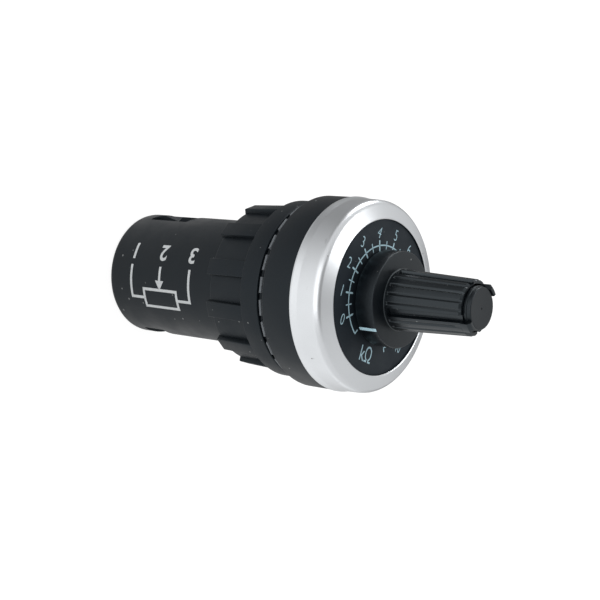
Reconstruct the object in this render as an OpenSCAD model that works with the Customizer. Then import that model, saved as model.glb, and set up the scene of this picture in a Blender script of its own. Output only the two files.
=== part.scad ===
// Panel-mount rotary potentiometer of the 22 mm series.
// The turning axis is Z, the knob points to +Z, and Z = 0 is the panel's front face.
// The middle of the dial's scale looks to +Y, and the knob stands at its lowest setting.

/* [Panel thread] */
// Outer diameter of the thread that passes the panel's hole
thread_d = 22; // [21.6:0.1:22.4]
// Length of the thread behind the panel's front face
thread_len = 12.5; // [12:0.5:14]
// Chamfer at the end of the thread
thread_chamfer = 0.4; // [0.2:0.1:0.6]
// Width of the keyway along the thread
keyway_w = 3; // [2.4:0.1:4]
// Depth of the keyway
keyway_depth = 0.9; // [0.6:0.1:1.1]

/* [Barrel] */
// Outer diameter of the smooth barrel
barrel_d = 19.5; // [19.2:0.1:20.2]
// Length of the housing behind the panel's front face
barrel_len = 37; // [36:0.5:44]
// Thickness of the barrel's wall
barrel_wall = 1.25; // [1:0.05:1.4]
// Radius of the rounded edge at the barrel's rear end
rear_round = 0.8; // [0.4:0.1:0.9]
// Width of the two latch windows
window_w = 5; // [4:0.25:6]
// Length of the long latch window
long_window_len = 8.2; // [7.6:0.2:9]
// Length of the short latch window
short_window_len = 4.4; // [3.6:0.2:6]
// Distance from the barrel's rear end to the windows
window_rear = 3; // [2.4:0.1:4]
// Angle of the long window round the axis
window_angle = 107; // [60:1:150]

/* [Head] */
// Diameter of the black head ring
head_d = 28.8; // [28:0.1:32]
// Thickness of the head ring
head_t = 5.25; // [4.5:0.25:7]
// Radius of the head ring's rear edge
head_round = 0.25; // [0.1:0.05:0.5]
// Height of the spigot that carries the bezel
spigot_h = 3.9; // [3.6:0.1:5]
// Width of the spigot's ledge outside the dial's seat
spigot_ledge = 0.9; // [0.7:0.1:1.2]
// Height of the dial's seat above the spigot
seat_h = 0.55; // [0.4:0.05:1]
// Width of the dial's seat
seat_w = 2.5; // [1.5:0.1:3]
// Thickness of the wall that the potentiometer is bolted to
bulkhead_t = 2; // [1.6:0.1:2.4]
// Distance from the panel's front face to the back of that wall
pot_seat_z = 3; // [2.4:0.1:3.4]

/* [Bezel] */
// Distance by which the bezel's rear edge stands out from the head
bezel_over = 0.1; // [0:0.05:0.3]
// Thickness of the bezel's wall round the spigot
bezel_wall = 1.55; // [1.4:0.05:1.8]
// Height of the flared foot of the bezel's side
flare_h = 1.25; // [0.8:0.05:1.6]
// Width by which the foot flares
flare_w = 0.2; // [0.05:0.05:0.3]
// Step from the rear edge in to the rolled rim
rim_step = 0.3; // [0.25:0.05:0.5]
// Radius of the rolled rim
rim_r = 1.2; // [0.9:0.05:1.3]
// Slope of the bezel's front band in degrees
band_slope = 20; // [14:1:24]
// Width by which the lip covers the dial
lip_cover = 0.55; // [0.3:0.05:0.8]
// Thickness of the lip that holds the dial
lip_t = 0.35; // [0.3:0.05:0.6]
// Radius of the bezel's rear edge
bezel_rear_round = 0.15; // [0.05:0.05:0.3]

/* [Dial] */
// Thickness of the dial plate
dial_t = 0.8; // [0.5:0.1:1.2]
// Diameter of the dial's hole
dial_hole_d = 9.4; // [9:0.1:11]

/* [Gasket] */
// Distance from the head's edge in to the gasket
gasket_inset = 1.5; // [1:0.1:1.8]
// Width of the gasket's section
gasket_w = 1.5; // [1.1:0.1:1.6]
// Thickness of the gasket
gasket_t = 1; // [0.8:0.1:1.4]
// Height by which the gasket stands out of its groove
gasket_proud = 0.4; // [0.2:0.1:0.5]

/* [Knob] */
// Diameter of the knob's skirt
skirt_d = 14.1; // [13:0.1:16]
// Height of the skirt
skirt_h = 3; // [2.6:0.1:4]
// Gap between the dial and the skirt
skirt_gap = 0.75; // [0.4:0.05:1]
// Thickness of the skirt's walls
skirt_wall = 1; // [0.8:0.1:1.4]
// Radius of the skirt's front edge
skirt_round = 0.2; // [0.1:0.05:0.5]
// Diameter of the handle at the skirt
handle_base_d = 8.9; // [8.6:0.1:10]
// Diameter of the handle at its end
handle_tip_d = 8.1; // [8:0.1:8.4]
// Length of the handle
handle_len = 11.3; // [10.5:0.1:16]
// Number of flutes round the handle
flutes = 20; // [16:4:24]
// Depth of a narrow flute
flute_depth = 0.28; // [0.15:0.01:0.32]
// Width of the four deep slots
slot_w = 1.25; // [0.8:0.05:1.4]
// Depth of the four deep slots
slot_depth = 0.7; // [0.4:0.05:0.75]
// Angle from the pointer to the first deep slot
slot_angle = -14.5; // [-30:0.5:0]
// Length of the four jaws beyond the handle's end
jaw_len = 2.4; // [1.6:0.1:3]
// Angle from a deep slot to the next jaw
jaw_angle = 22; // [16:1:30]
// Width of a jaw in degrees
jaw_span = 24; // [16:1:28]
// Thickness of a jaw across its wall
jaw_t = 0.65; // [0.5:0.05:0.7]
// Depth of the ring-shaped recess round the end cap
recess_depth = 0.7; // [0.4:0.1:1.2]
// Diameter of the end cap
cap_d = 6.3; // [6:0.05:6.4]
// Height of the end cap above the handle
cap_h = 2.2; // [1.4:0.1:2.6]
// Radius of the end cap's rounded edge
cap_round = 0.35; // [0.2:0.05:0.5]
// Diameter of the plug under the end cap
cap_plug_d = 5.2; // [4.6:0.1:5.6]
// Turning range of the knob in degrees
knob_travel = 290; // [260:5:300]

/* [Potentiometer] */
// Diameter of the shaft
shaft_d = 6; // [5.8:0.1:6.1]
// Distance by which the shaft reaches into the handle
shaft_reach = 9; // [7:0.1:9.4]
// Depth of the flat on the shaft
shaft_flat = 1.4; // [0.8:0.1:1.6]
// Depth of the groove for the retaining clip
clip_groove = 0.5; // [0.3:0.05:0.7]
// Diameter of the bushing's thread
bushing_d = 7; // [6.8:0.1:7.6]
// Length of the bushing in front of its plate
bushing_len = 6; // [5.5:0.1:6.2]
// Thickness of the front plate
plate_t = 1.6; // [1.2:0.1:2]
// Gap between the steel cover and the barrel's wall
cover_gap = 0.5; // [0.45:0.05:0.8]
// Depth of the steel cover behind the front plate
cover_depth = 6; // [5.4:0.1:7]
// Thickness of the steel cover
cover_t = 0.35; // [0.25:0.05:0.4]
// Thickness of the wafer
wafer_t = 1.2; // [0.8:0.1:1.5]
// Thickness of the printed tracks
track_t = 0.1; // [0.05:0.01:0.2]
// Width of the carbon track
track_w = 1.4; // [1:0.1:1.6]
// Mean diameter of the carbon track
track_d = 11.8; // [11.4:0.1:12.2]
// Width of the collector ring
collector_w = 0.8; // [0.5:0.1:0.9]
// Mean diameter of the collector ring
collector_d = 8.4; // [8.2:0.1:8.8]
// Gap between the wafer and the rotor
rotor_gap = 0.7; // [0.5:0.1:1]
// Thickness of the rotor
rotor_t = 1.9; // [1.4:0.1:2.2]
// Diameter of the rotor
rotor_d = 12; // [11.4:0.1:12.4]
// Height of the rotor's stop
stop_h = 0.9; // [0.6:0.1:1]
// Width of the rotor's stop in degrees
rotor_stop = 24; // [16:1:28]
// Thickness of the wiper's leaf
leaf_t = 0.2; // [0.1:0.05:0.3]
// Width of the wiper's arm
wiper_w = 1.6; // [1:0.1:2]
// Across flats of the potentiometer's nut
pot_nut_af = 10; // [9.5:0.5:11]
// Thickness of the potentiometer's nut
pot_nut_t = 2; // [1.5:0.1:2.2]
// Diameter of the washer under the nut
pot_washer_d = 12; // [11.5:0.5:14]
// Thickness of the washer under the nut
pot_washer_t = 0.5; // [0.4:0.1:0.8]
// Diameter of the retaining clip
clip_d = 8.4; // [7.8:0.1:8.6]
// Thickness of the retaining clip
clip_t = 0.5; // [0.4:0.1:0.6]
// Width of a solder lug
lug_w = 1.6; // [1.2:0.1:1.8]
// Thickness of a solder lug
lug_t = 0.3; // [0.2:0.02:0.3]
// Length of a solder lug behind the wafer
lug_len = 9.8; // [9:0.2:12]
// Angle between two solder lugs
lug_pitch_angle = 36; // [30:1:45]

/* [Terminals] */
// Length of the terminal block
block_len = 14.5; // [13.5:0.5:16]
// Distance from the barrel's rear end to the block's face
block_recess = 0.5; // [0.2:0.1:1.5]
// Thickness of the block's outer wall
block_wall = 0.9; // [0.7:0.05:1]
// Thickness of the walls between the bays
bay_wall = 1; // [0.7:0.1:1.2]
// Depth of the bays
bay_depth = 9.5; // [9:0.1:10.5]
// Distance from the block's side in to the axes of the terminal screws
screw_inset = 4.1; // [4:0.05:4.25]
// Diameter of the screws' thread
screw_d = 3; // [2.5:0.1:3]
// Length of the screws' thread
screw_len = 4.8; // [4:0.1:5]
// Diameter of the screws' head
screw_head_d = 5.2; // [4.6:0.1:5.4]
// Height of the screws' head
screw_head_h = 1.8; // [1.4:0.1:2.2]
// Chamfer round the screws' head
screw_chamfer = 0.3; // [0.1:0.05:0.4]
// Width of the screwdriver slot
driver_slot_w = 0.8; // [0.6:0.05:1]
// Depth of the screwdriver slot
driver_slot_depth = 0.9; // [0.6:0.1:1]
// Width of the terminal plates and clamp washers
plate_w = 4.4; // [4:0.1:4.5]
// Thickness of the terminal plates
terminal_t = 0.8; // [0.6:0.05:1]
// Width of the tail under a terminal plate
tail_w = 1.8; // [1.4:0.1:2]
// Thickness of the tail under a terminal plate
tail_t = 0.6; // [0.4:0.05:0.7]
// Length of the tail beyond the block
tail_reach = 1.2; // [0.8:0.1:1.6]
// Thickness of the clamp washers
clamp_t = 0.6; // [0.4:0.05:0.8]
// Diameter of the inner leads
lead_d = 1.2; // [0.8:0.1:1.4]

/* [Ring nut] */
// Diameter of the nut's flange
nut_flange_d = 26.9; // [26.4:0.1:28.4]
// Thickness of the nut's flange
nut_flange_t = 3.45; // [2.5:0.05:4]
// Chamfer round the rear of the flange
nut_flange_chamfer = 0.3; // [0.1:0.05:0.6]
// Depth of the relief round the flange's front face
nut_relief = 0.38; // [0.2:0.02:0.5]
// Width of the relief round the flange's front face
nut_relief_w = 1.2; // [0.6:0.1:1.5]
// Diameter of the nut's hub
nut_hub_d = 23.9; // [23.6:0.1:24.4]
// Length of the hub behind the flange
nut_hub_len = 7.6; // [6:0.1:9]
// Number of grip lugs round the hub
nut_lugs = 12; // [8:1:16]
// Width of a grip lug
nut_lug_w = 2.5; // [1.8:0.1:3]
// Height of the lugs above the hub
nut_lug_h = 0.85; // [0.6:0.05:1]
// Radius of the lugs' rounded rear corner
nut_lug_round = 0.6; // [0.4:0.05:0.8]
// Angle of the first lug
nut_lug_angle = 4.8; // [0:0.1:30]

/* [Lock ring] */
// Diameter over the lock ring's teeth
lock_ring_d = 27.5; // [27:0.1:28]
// Depth of the teeth
lock_tooth_depth = 0.85; // [0.5:0.05:1]
// Number of teeth
lock_teeth = 26; // [20:1:30]
// Share of the pitch that a tooth fills
lock_tooth_share = 0.6; // [0.5:0.05:0.7]
// Thickness of the lock ring
lock_ring_t = 0.9; // [0.6:0.1:1.2]

/* [Hidden] */
$fn = 96;

// Clearances, and the length by which a cut runs past a face
cut = 1;
fit_gap = 0.05;
running_gap = 0.04;
loose_gap = 0.15;
slide_gap = 0.1;

// Heights from the panel's front face
spigot_top = head_t + spigot_h;
dial_z = spigot_top + seat_h;
dial_top = dial_z + dial_t;
bezel_top = dial_top + lip_t;
bulkhead_top = pot_seat_z + bulkhead_t;
skirt_z = dial_top + skirt_gap;
skirt_top = skirt_z + skirt_h;
handle_end = skirt_top + handle_len;
shaft_end = skirt_top + shaft_reach;
barrel_end = -barrel_len;
latch_z = barrel_end + window_rear + loose_gap;

// Diameters that follow the head
bezel_d = head_d + 2 * bezel_over;
spigot_d = bezel_d - 2 * bezel_wall - 2 * fit_gap;
dial_d = spigot_d - 2 * spigot_ledge;
pocket_d = dial_d - 2 * seat_w;
bezel_window_d = dial_d - 2 * lip_cover;
gasket_d = head_d - 2 * gasket_inset;

// Radii
cavity_r = barrel_d / 2 - barrel_wall;
shaft_r = shaft_d / 2;
groove_r = shaft_r - clip_groove;
knob_bore_r = shaft_r + fit_gap / 2;
cover_r = cavity_r - cover_gap;
inner_r = cover_r - cover_t - fit_gap;

// Angles round the axis
jaws = 4;
stop_angle = 270;
key_angle = 90;
pointer_angle = stop_angle - (360 - knob_travel) / 2;
cover_stop = 360 - knob_travel - rotor_stop - 1;
lug_notch = 2 * lug_pitch_angle + 24;
handle_taper = atan((handle_base_d - handle_tip_d) / 2 / handle_len);

// The potentiometer behind its seat
plate_z = pot_seat_z - plate_t;
wafer_z = plate_z - wafer_t;
track_z = wafer_z - track_t;
cover_z = plate_z - cover_depth;
rotor_top = wafer_z - rotor_gap;
rotor_z = rotor_top - rotor_t;
bushing_end = pot_seat_z + bushing_len;
clip_z = bushing_end + loose_gap;
lug_r = cover_r + slide_gap;
lug_z = wafer_z + wafer_t / 2;

// The terminal block
block_r = cavity_r - slide_gap;
block_z = barrel_end + block_recess;
block_top = block_z + block_len;
screw_circle_r = block_r - screw_inset;
bay_floor = block_z + bay_depth;
bay_r = block_r - block_wall;
clamp_z = bay_floor - terminal_t - clamp_t;
head_z = clamp_z - screw_head_h;
tail_r = screw_circle_r + screw_d / 2 + tail_t / 2 + 2 * loose_gap;
function bay_angle(i) = window_angle + 60 + 120 * (i - 1);
function lug_angle(i) = stop_angle + lug_pitch_angle * (i - 2);

// The lock ring and the nut
lock_front = -gasket_proud;
nut_front = lock_front - lock_ring_t;
nut_flange_front = nut_front - nut_relief;
nut_flange_rear = nut_flange_front - nut_flange_t;
nut_rear = nut_flange_rear - nut_hub_len;

// A ring or a tube between two radii
module tube(r_out, r_in, z0, z1) {
    translate([0, 0, z0])
        difference() {
            cylinder(r = r_out, h = z1 - z0);
            translate([0, 0, -cut])
                cylinder(r = r_in, h = z1 - z0 + 2 * cut);
        }
}

// A sector of a ring under half a turn, centred on one angle
module ring_sector(r_out, r_in, z0, z1, centre, span) {
    reach = 2 * r_out;
    intersection() {
        tube(r_out, r_in, z0, z1);
        translate([0, 0, z0 - cut])
            linear_extrude(z1 - z0 + 2 * cut)
                polygon(concat([[0, 0]],
                    [for (k = [-2:2]) reach * [cos(centre + k * span / 4), sin(centre + k * span / 4)]]));
    }
}

// What a rounded outer corner of a turned section loses
module corner_waste(x, y, r, up) {
    translate([x, y])
        mirror([0, up ? 0 : 1])
            difference() {
                translate([-r, -r])
                    square([r + cut, r + cut]);
                translate([-r, -r])
                    circle(r = r);
                translate([-r - cut, -r - cut])
                    square([2 * cut + 2 * r, cut]);
            }
}

// Head, threaded tube and barrel in one moulding
module housing() {
    color([0.13, 0.14, 0.15])
        difference() {
            rotate_extrude()
                housing_section();
            keyway();
            rotate(window_angle)
                window(long_window_len);
            rotate(window_angle + 180)
                window(short_window_len);
        }
}

// Turned section of the housing
module housing_section() {
    bolt_hole_r = bushing_d / 2 + slide_gap;
    difference() {
        polygon([[cavity_r, barrel_end], [barrel_d / 2, barrel_end],
            [barrel_d / 2, -thread_len - thread_chamfer],
            [thread_d / 2 - thread_chamfer, -thread_len],
            [thread_d / 2, -thread_len + thread_chamfer], [thread_d / 2, 0],
            [head_d / 2, 0], [head_d / 2, head_t],
            [spigot_d / 2, head_t], [spigot_d / 2, spigot_top],
            [dial_d / 2, spigot_top], [dial_d / 2, dial_z],
            [pocket_d / 2, dial_z], [pocket_d / 2, bulkhead_top],
            [bolt_hole_r, bulkhead_top], [bolt_hole_r, pot_seat_z], [cavity_r, pot_seat_z]]);
        corner_waste(barrel_d / 2, barrel_end, rear_round, false);
        corner_waste(head_d / 2, 0, head_round, false);
        translate([gasket_d / 2 - gasket_w, -cut])
            square([gasket_w, gasket_t - gasket_proud + cut]);
    }
}

// Groove along the thread for the lock ring's key
module keyway() {
    rotate(key_angle)
        translate([thread_d / 2 - keyway_depth, -keyway_w / 2, -thread_len - cut])
            cube([keyway_depth + cut, keyway_w, thread_len + cut]);
}

// Window through the barrel's wall for a latch
module window(len) {
    translate([cavity_r - barrel_wall, -window_w / 2, barrel_end + window_rear])
        cube([3 * barrel_wall, window_w, len]);
}

// Ring with a rolled rim, clipped over the spigot
module bezel() {
    bezel_foot = 0.3;
    side_r = bezel_d / 2;
    rolled_r = side_r - rim_step;
    lip_r = bezel_window_d / 2 + lip_t / 2;
    band_r = rolled_r - rim_r + rim_r * sin(band_slope);
    rim_z = bezel_top - (band_r - lip_r) * tan(band_slope) - rim_r * cos(band_slope);
    foot_z = head_t + bezel_foot;
    flare_z = head_t + flare_h;
    bore_r = spigot_d / 2 + fit_gap;
    dial_bore_r = dial_d / 2 + fit_gap;
    color([0.78, 0.79, 0.8])
        rotate_extrude()
            difference() {
                union() {
                    polygon([[bore_r, head_t], [side_r, head_t], [side_r, foot_z],
                        [side_r - flare_w, flare_z], [rolled_r, rim_z],
                        [band_r, rim_z + rim_r * cos(band_slope)],
                        [lip_r, bezel_top], [lip_r - lip_t / 2, bezel_top - lip_t / 2],
                        [lip_r - lip_t / 2, dial_top], [dial_bore_r, dial_top],
                        [dial_bore_r, spigot_top], [bore_r, spigot_top]]);
                    translate([rolled_r - rim_r, rim_z])
                        circle(r = rim_r);
                    translate([lip_r, bezel_top - lip_t / 2])
                        circle(r = lip_t / 2);
                }
                corner_waste(side_r, head_t, bezel_rear_round, false);
                translate([0, head_t - cut])
                    square([bore_r, spigot_h + cut]);
                translate([0, head_t - cut])
                    square([dial_bore_r, dial_top - head_t + cut]);
            }
}

// Flat plate that carries the scale
module dial() {
    color([0.12, 0.13, 0.14])
        tube(dial_d / 2 - fit_gap, dial_hole_d / 2, dial_z, dial_top);
}

// Rubber ring in the head's rear face
module gasket() {
    color([0.08, 0.08, 0.08])
        tube(gasket_d / 2, gasket_d / 2 - gasket_w, lock_front, gasket_t - gasket_proud);
}

// Skirt, fluted handle and jaws in one moulding
module knob() {
    color([0.11, 0.12, 0.13])
        rotate(pointer_angle)
            difference() {
                union() {
                    difference() {
                        knob_turned();
                        handle_grooves();
                    }
                    for (i = [0:jaws - 1])
                        rotate(slot_angle + jaw_angle + 360 / jaws * i)
                            jaw();
                }
                shaft_bore();
                translate([0, 0, shaft_end])
                    cylinder(r = cap_plug_d / 2 + fit_gap / 2, h = handle_len + jaw_len);
            }
}

// Turned form of the knob: skirt, hub, tapered handle and the recess at its end
module knob_turned() {
    hub_r = knob_bore_r + skirt_wall;
    recess_r = handle_tip_d / 2 - jaw_t + slide_gap;
    rotate_extrude()
        difference() {
            polygon([[0, skirt_z], [skirt_d / 2, skirt_z], [skirt_d / 2, skirt_top],
                [handle_base_d / 2, skirt_top], [handle_tip_d / 2, handle_end],
                [recess_r, handle_end], [recess_r, handle_end - recess_depth],
                [cap_d / 2 - slide_gap, handle_end - recess_depth],
                [cap_d / 2 - slide_gap, handle_end], [0, handle_end]]);
            corner_waste(skirt_d / 2, skirt_top, skirt_round, true);
            translate([hub_r, skirt_z - cut])
                square([skirt_d / 2 - skirt_wall - hub_r, skirt_h - skirt_wall + cut]);
        }
}

// Flutes and deep slots, laid along the handle's taper
module handle_grooves() {
    foot = 0.5;
    flute_side = flute_depth * sqrt(2);
    for (i = [0:flutes - 1])
        rotate(slot_angle + 360 * i / flutes)
            translate([handle_base_d / 2, 0, skirt_top + foot])
                rotate([0, -handle_taper, 0])
                    if (i % (flutes / jaws) == 0)
                        translate([-slot_depth, -slot_w / 2, 0])
                            cube([slot_depth + cut, slot_w, handle_len + cut]);
                    else
                        rotate(45)
                            translate([-flute_side / 2, -flute_side / 2, 0])
                                cube([flute_side, flute_side, handle_len + cut]);
}

// Hole for the shaft, with a land that meets the shaft's flat
module shaft_bore() {
    difference() {
        translate([0, 0, skirt_z - cut])
            cylinder(r = knob_bore_r, h = shaft_end + loose_gap - skirt_z + cut);
        translate([-shaft_d, shaft_r - shaft_flat + fit_gap / 2, skirt_top + fit_gap])
            cube([2 * shaft_d, shaft_d, handle_len]);
    }
}

// One jaw at the end of the handle, with a chamfered tip
module jaw() {
    jaw_r = handle_tip_d / 2 - fit_gap;
    chamfer = jaw_t / 2;
    root = handle_end - recess_depth;
    tip = handle_end + jaw_len;
    intersection() {
        rotate_extrude()
            polygon([[jaw_r - jaw_t, root], [jaw_r, root], [jaw_r, tip - chamfer],
                [jaw_r - chamfer, tip], [jaw_r - jaw_t, tip]]);
        ring_sector(jaw_r + cut, jaw_r / 2, root - cut, tip + cut, 0, jaw_span);
    }
}

// Round button that closes the end of the handle
module knob_cap() {
    color([0.13, 0.14, 0.15])
        rotate_extrude()
            difference() {
                union() {
                    translate([0, handle_end])
                        square([cap_d / 2, cap_h]);
                    translate([0, shaft_end + 2 * loose_gap])
                        square([cap_plug_d / 2, handle_end - shaft_end - loose_gap]);
                }
                corner_waste(cap_d / 2, handle_end + cap_h, cap_round, true);
            }
}

// Metal shaft with a flat for the knob and a groove for its clip
module pot_shaft() {
    color([0.72, 0.72, 0.7])
        rotate(pointer_angle)
            difference() {
                translate([0, 0, rotor_z])
                    cylinder(r = shaft_r, h = shaft_end - rotor_z);
                translate([-shaft_d, shaft_r - shaft_flat, skirt_top])
                    cube([2 * shaft_d, shaft_d, shaft_reach + cut]);
                tube(shaft_d, groove_r, clip_z, clip_z + clip_t + fit_gap);
            }
}

// Open ring that keeps the shaft in its bushing
module shaft_clip() {
    mouth = 60;
    color([0.35, 0.35, 0.36])
        rotate(pointer_angle + 180)
            difference() {
                tube(clip_d / 2, groove_r + fit_gap / 2, clip_z, clip_z + clip_t);
                ring_sector(clip_d, groove_r / 2, clip_z - cut, clip_z + clip_t + cut, 0, mouth);
            }
}

// Front plate and threaded bushing, cast in one piece
module pot_bushing() {
    bore_r = shaft_r + running_gap;
    chamfer = 0.4;
    color([0.6, 0.6, 0.58])
        rotate_extrude()
            polygon([[bore_r, plate_z], [inner_r, plate_z], [inner_r, pot_seat_z],
                [bushing_d / 2, pot_seat_z], [bushing_d / 2, bushing_end - chamfer],
                [bushing_d / 2 - chamfer, bushing_end], [bore_r, bushing_end]]);
}

// Washer between the wall and the potentiometer's nut
module pot_washer() {
    color([0.7, 0.7, 0.68])
        tube(pot_washer_d / 2, bushing_d / 2 + slide_gap, bulkhead_top, bulkhead_top + pot_washer_t);
}

// Thin hexagon nut that holds the potentiometer
module pot_nut() {
    z = bulkhead_top + pot_washer_t;
    color([0.75, 0.75, 0.72])
        difference() {
            translate([0, 0, z])
                cylinder(r = pot_nut_af / 2 / cos(30), h = pot_nut_t, $fn = 6);
            translate([0, 0, z - cut])
                cylinder(r = bushing_d / 2 + fit_gap, h = pot_nut_t + 2 * cut);
        }
}

// Insulating wafer that carries the tracks and the lugs
module pot_wafer() {
    shaft_hole_r = shaft_r + 2 * loose_gap;
    color([0.45, 0.27, 0.13])
        difference() {
            tube(inner_r, shaft_hole_r, wafer_z, plate_z);
            for (i = [1:3])
                rotate(lug_angle(i))
                    lug_foot(fit_gap);
        }
}

// Horseshoe of resistive carbon on the wafer, open at the stop
module carbon_track() {
    overlap = 5;
    r_out = (track_d + track_w) / 2;
    r_in = (track_d - track_w) / 2;
    color([0.06, 0.06, 0.06])
        difference() {
            tube(r_out, r_in, track_z, wafer_z);
            ring_sector(r_out + cut, r_in / 2, track_z - cut, wafer_z + cut, stop_angle,
                360 - knob_travel - 2 * overlap);
        }
}

// Silvered ring that the wiper takes the signal to
module collector_ring() {
    color([0.8, 0.8, 0.78])
        tube((collector_d + collector_w) / 2, (collector_d - collector_w) / 2, track_z, wafer_z);
}

// Plastic rotor with its stop
module rotor() {
    color([0.85, 0.84, 0.78]) {
        tube(rotor_d / 2, knob_bore_r, rotor_z, rotor_top);
        ring_sector(rotor_d / 2 + stop_h, rotor_d / 4, rotor_z, rotor_top, pointer_angle, rotor_stop);
    }
}

// Spring wiper between the collector ring and the carbon track
module wiper() {
    contact_w = 0.6;
    ring_in = (collector_d - collector_w) / 2;
    arm_end = track_d / 2 + contact_w / 2;
    color([0.75, 0.5, 0.22])
        rotate(pointer_angle) {
            tube((collector_d + collector_w) / 2, ring_in, rotor_top, rotor_top + leaf_t);
            translate([collector_d / 2, -wiper_w / 2, rotor_top])
                cube([arm_end - collector_d / 2, wiper_w, leaf_t]);
            for (r = [collector_d / 2, track_d / 2])
                translate([r - contact_w / 2, -wiper_w / 2, rotor_top])
                    cube([contact_w, wiper_w, track_z - fit_gap - rotor_top]);
        }
}

// Deep-drawn steel cover with a notch for the lugs and a stop pressed in
module pot_cover() {
    floor_top = cover_z + cover_t;
    bore_r = cover_r - cover_t;
    rim_z = pot_seat_z - slide_gap;
    stop_in = rotor_d / 2 + 2 * slide_gap;
    color([0.68, 0.69, 0.7]) {
        difference() {
            translate([0, 0, cover_z])
                cylinder(r = cover_r, h = rim_z - cover_z);
            translate([0, 0, floor_top])
                cylinder(r = bore_r, h = rim_z - floor_top + cut);
            ring_sector(cover_r + cut, bore_r / 2, wafer_z - loose_gap, rim_z + cut, stop_angle, lug_notch);
        }
        ring_sector(bore_r + cover_t / 2, stop_in, rotor_z, rotor_top, stop_angle, cover_stop);
    }
}

// Part of a lug that is riveted into the wafer
module lug_foot(grow) {
    foot_r = track_d / 2;
    translate([foot_r - grow, -lug_w / 2 - grow, lug_z - grow])
        cube([lug_r + lug_t - foot_r + grow, lug_w + 2 * grow, lug_t + 2 * grow]);
}

// Solder lug, bent back past the cover
module pot_lug(i) {
    color([0.8, 0.78, 0.7])
        rotate(lug_angle(i)) {
            lug_foot(0);
            translate([lug_r, -lug_w / 2, lug_z - lug_len])
                cube([lug_t, lug_w, lug_len + lug_t]);
        }
}

// A round bar between two points
module bar(a, b, r) {
    d = b - a;
    translate(a)
        rotate([0, acos(d[2] / norm(d)), atan2(d[1], d[0])])
            cylinder(r = r, h = norm(d));
}

// Insulated lead from a solder lug to a terminal's tail
module inner_lead(i) {
    r = lead_d / 2;
    bend_swell = 0.03;
    lug_end = lug_z - lug_len;
    tail_end = block_top + tail_reach;
    lug_side = (lug_r - r) * [cos(lug_angle(i)), sin(lug_angle(i))];
    tail_side = tail_r * [cos(bay_angle(i)), sin(bay_angle(i))];
    start = [lug_side[0], lug_side[1], lug_end + 1];
    upper = [lug_side[0], lug_side[1], lug_end - 1];
    lower = [tail_side[0], tail_side[1], tail_end + 1.5];
    end = [tail_side[0], tail_side[1], tail_end];
    color(["firebrick", "gold", "royalblue"][i - 1]) {
        bar(start, upper, r);
        bar(upper, lower, r - fit_gap);
        bar(lower, end, r);
        translate(upper)
            sphere(r = r + bend_swell);
        translate(lower)
            sphere(r = r + bend_swell);
    }
}

// Moulded block with three wiring bays, latched in the barrel's windows
module terminal_block() {
    screw_hole = screw_len - terminal_t - clamp_t + 2 * loose_gap;
    color([0.16, 0.16, 0.17]) {
        difference() {
            translate([0, 0, block_z])
                cylinder(r = block_r, h = block_len);
            difference() {
                translate([0, 0, block_z - cut])
                    cylinder(r = bay_r, h = bay_depth + cut);
                for (i = [1:3])
                    rotate(bay_angle(i) + 60)
                        translate([-bay_wall / 2, -bay_wall / 2, block_z - 2 * cut])
                            cube([block_r, bay_wall, bay_depth + 3 * cut]);
            }
            for (i = [1:3])
                rotate(bay_angle(i)) {
                    translate([screw_circle_r, 0, bay_floor - cut])
                        cylinder(r = screw_d / 2 + slide_gap, h = screw_hole + cut);
                    translate([tail_r - tail_t / 2 - fit_gap, -tail_w / 2 - fit_gap, bay_floor - cut])
                        cube([tail_t + 2 * fit_gap, tail_w + 2 * fit_gap, block_len + cut]);
                }
        }
        rotate(window_angle)
            long_latch();
        rotate(window_angle + 180)
            short_latch();
    }
}

// Latch in the long window: a ramp, a hollow and a nose
module long_latch() {
    root = block_r - block_wall / 2;
    high = barrel_d / 2 - slide_gap;
    low = high - 0.8;
    end = latch_z + long_window_len - 2 * loose_gap;
    crest = latch_z + 1.6;
    hollow = crest + 3;
    nose = hollow + 0.9;
    w = window_w - 2 * loose_gap;
    translate([0, w / 2, 0])
        rotate([90, 0, 0])
            linear_extrude(w)
                polygon([[root, latch_z], [high - 0.4, latch_z], [high, crest], [low, hollow],
                    [high, nose], [high, end], [root, end]]);
}

// Latch in the short window, seated below the barrel's surface
module short_latch() {
    root = block_r - block_wall / 2;
    high = barrel_d / 2 - barrel_wall / 2;
    w = window_w - 2 * loose_gap;
    translate([root, -w / 2, latch_z])
        cube([high - root, w, short_window_len - 2 * loose_gap]);
}

// Brass plate on the floor of a bay, with a tail to the lead
module terminal_plate(i) {
    color([0.8, 0.66, 0.3])
        rotate(bay_angle(i))
            difference() {
                union() {
                    translate([screw_circle_r - plate_w / 2, -plate_w / 2, bay_floor - terminal_t])
                        cube([plate_w, plate_w, terminal_t]);
                    translate([tail_r - tail_t / 2, -tail_w / 2, bay_floor - terminal_t])
                        cube([tail_t, tail_w, block_top + tail_reach - bay_floor + terminal_t]);
                }
                translate([screw_circle_r, 0, bay_floor - terminal_t - cut])
                    cylinder(r = screw_d / 2 + fit_gap, h = terminal_t + 2 * cut);
            }
}

// Square washer with a thinned edge on two sides, under a screw's head
module clamp_washer(i) {
    edge = 0.5;
    color([0.75, 0.75, 0.72])
        rotate(bay_angle(i))
            translate([screw_circle_r, 0, clamp_z])
                difference() {
                    translate([-plate_w / 2, -plate_w / 2, 0])
                        cube([plate_w, plate_w, clamp_t]);
                    translate([0, 0, -cut])
                        cylinder(r = screw_d / 2 + slide_gap, h = clamp_t + 2 * cut);
                    for (side = [-1, 1])
                        translate([-plate_w / 2 - cut, side * plate_w / 2 - edge / 2, clamp_t / 2])
                            cube([plate_w + 2 * cut, edge, clamp_t]);
                }
}

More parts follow.
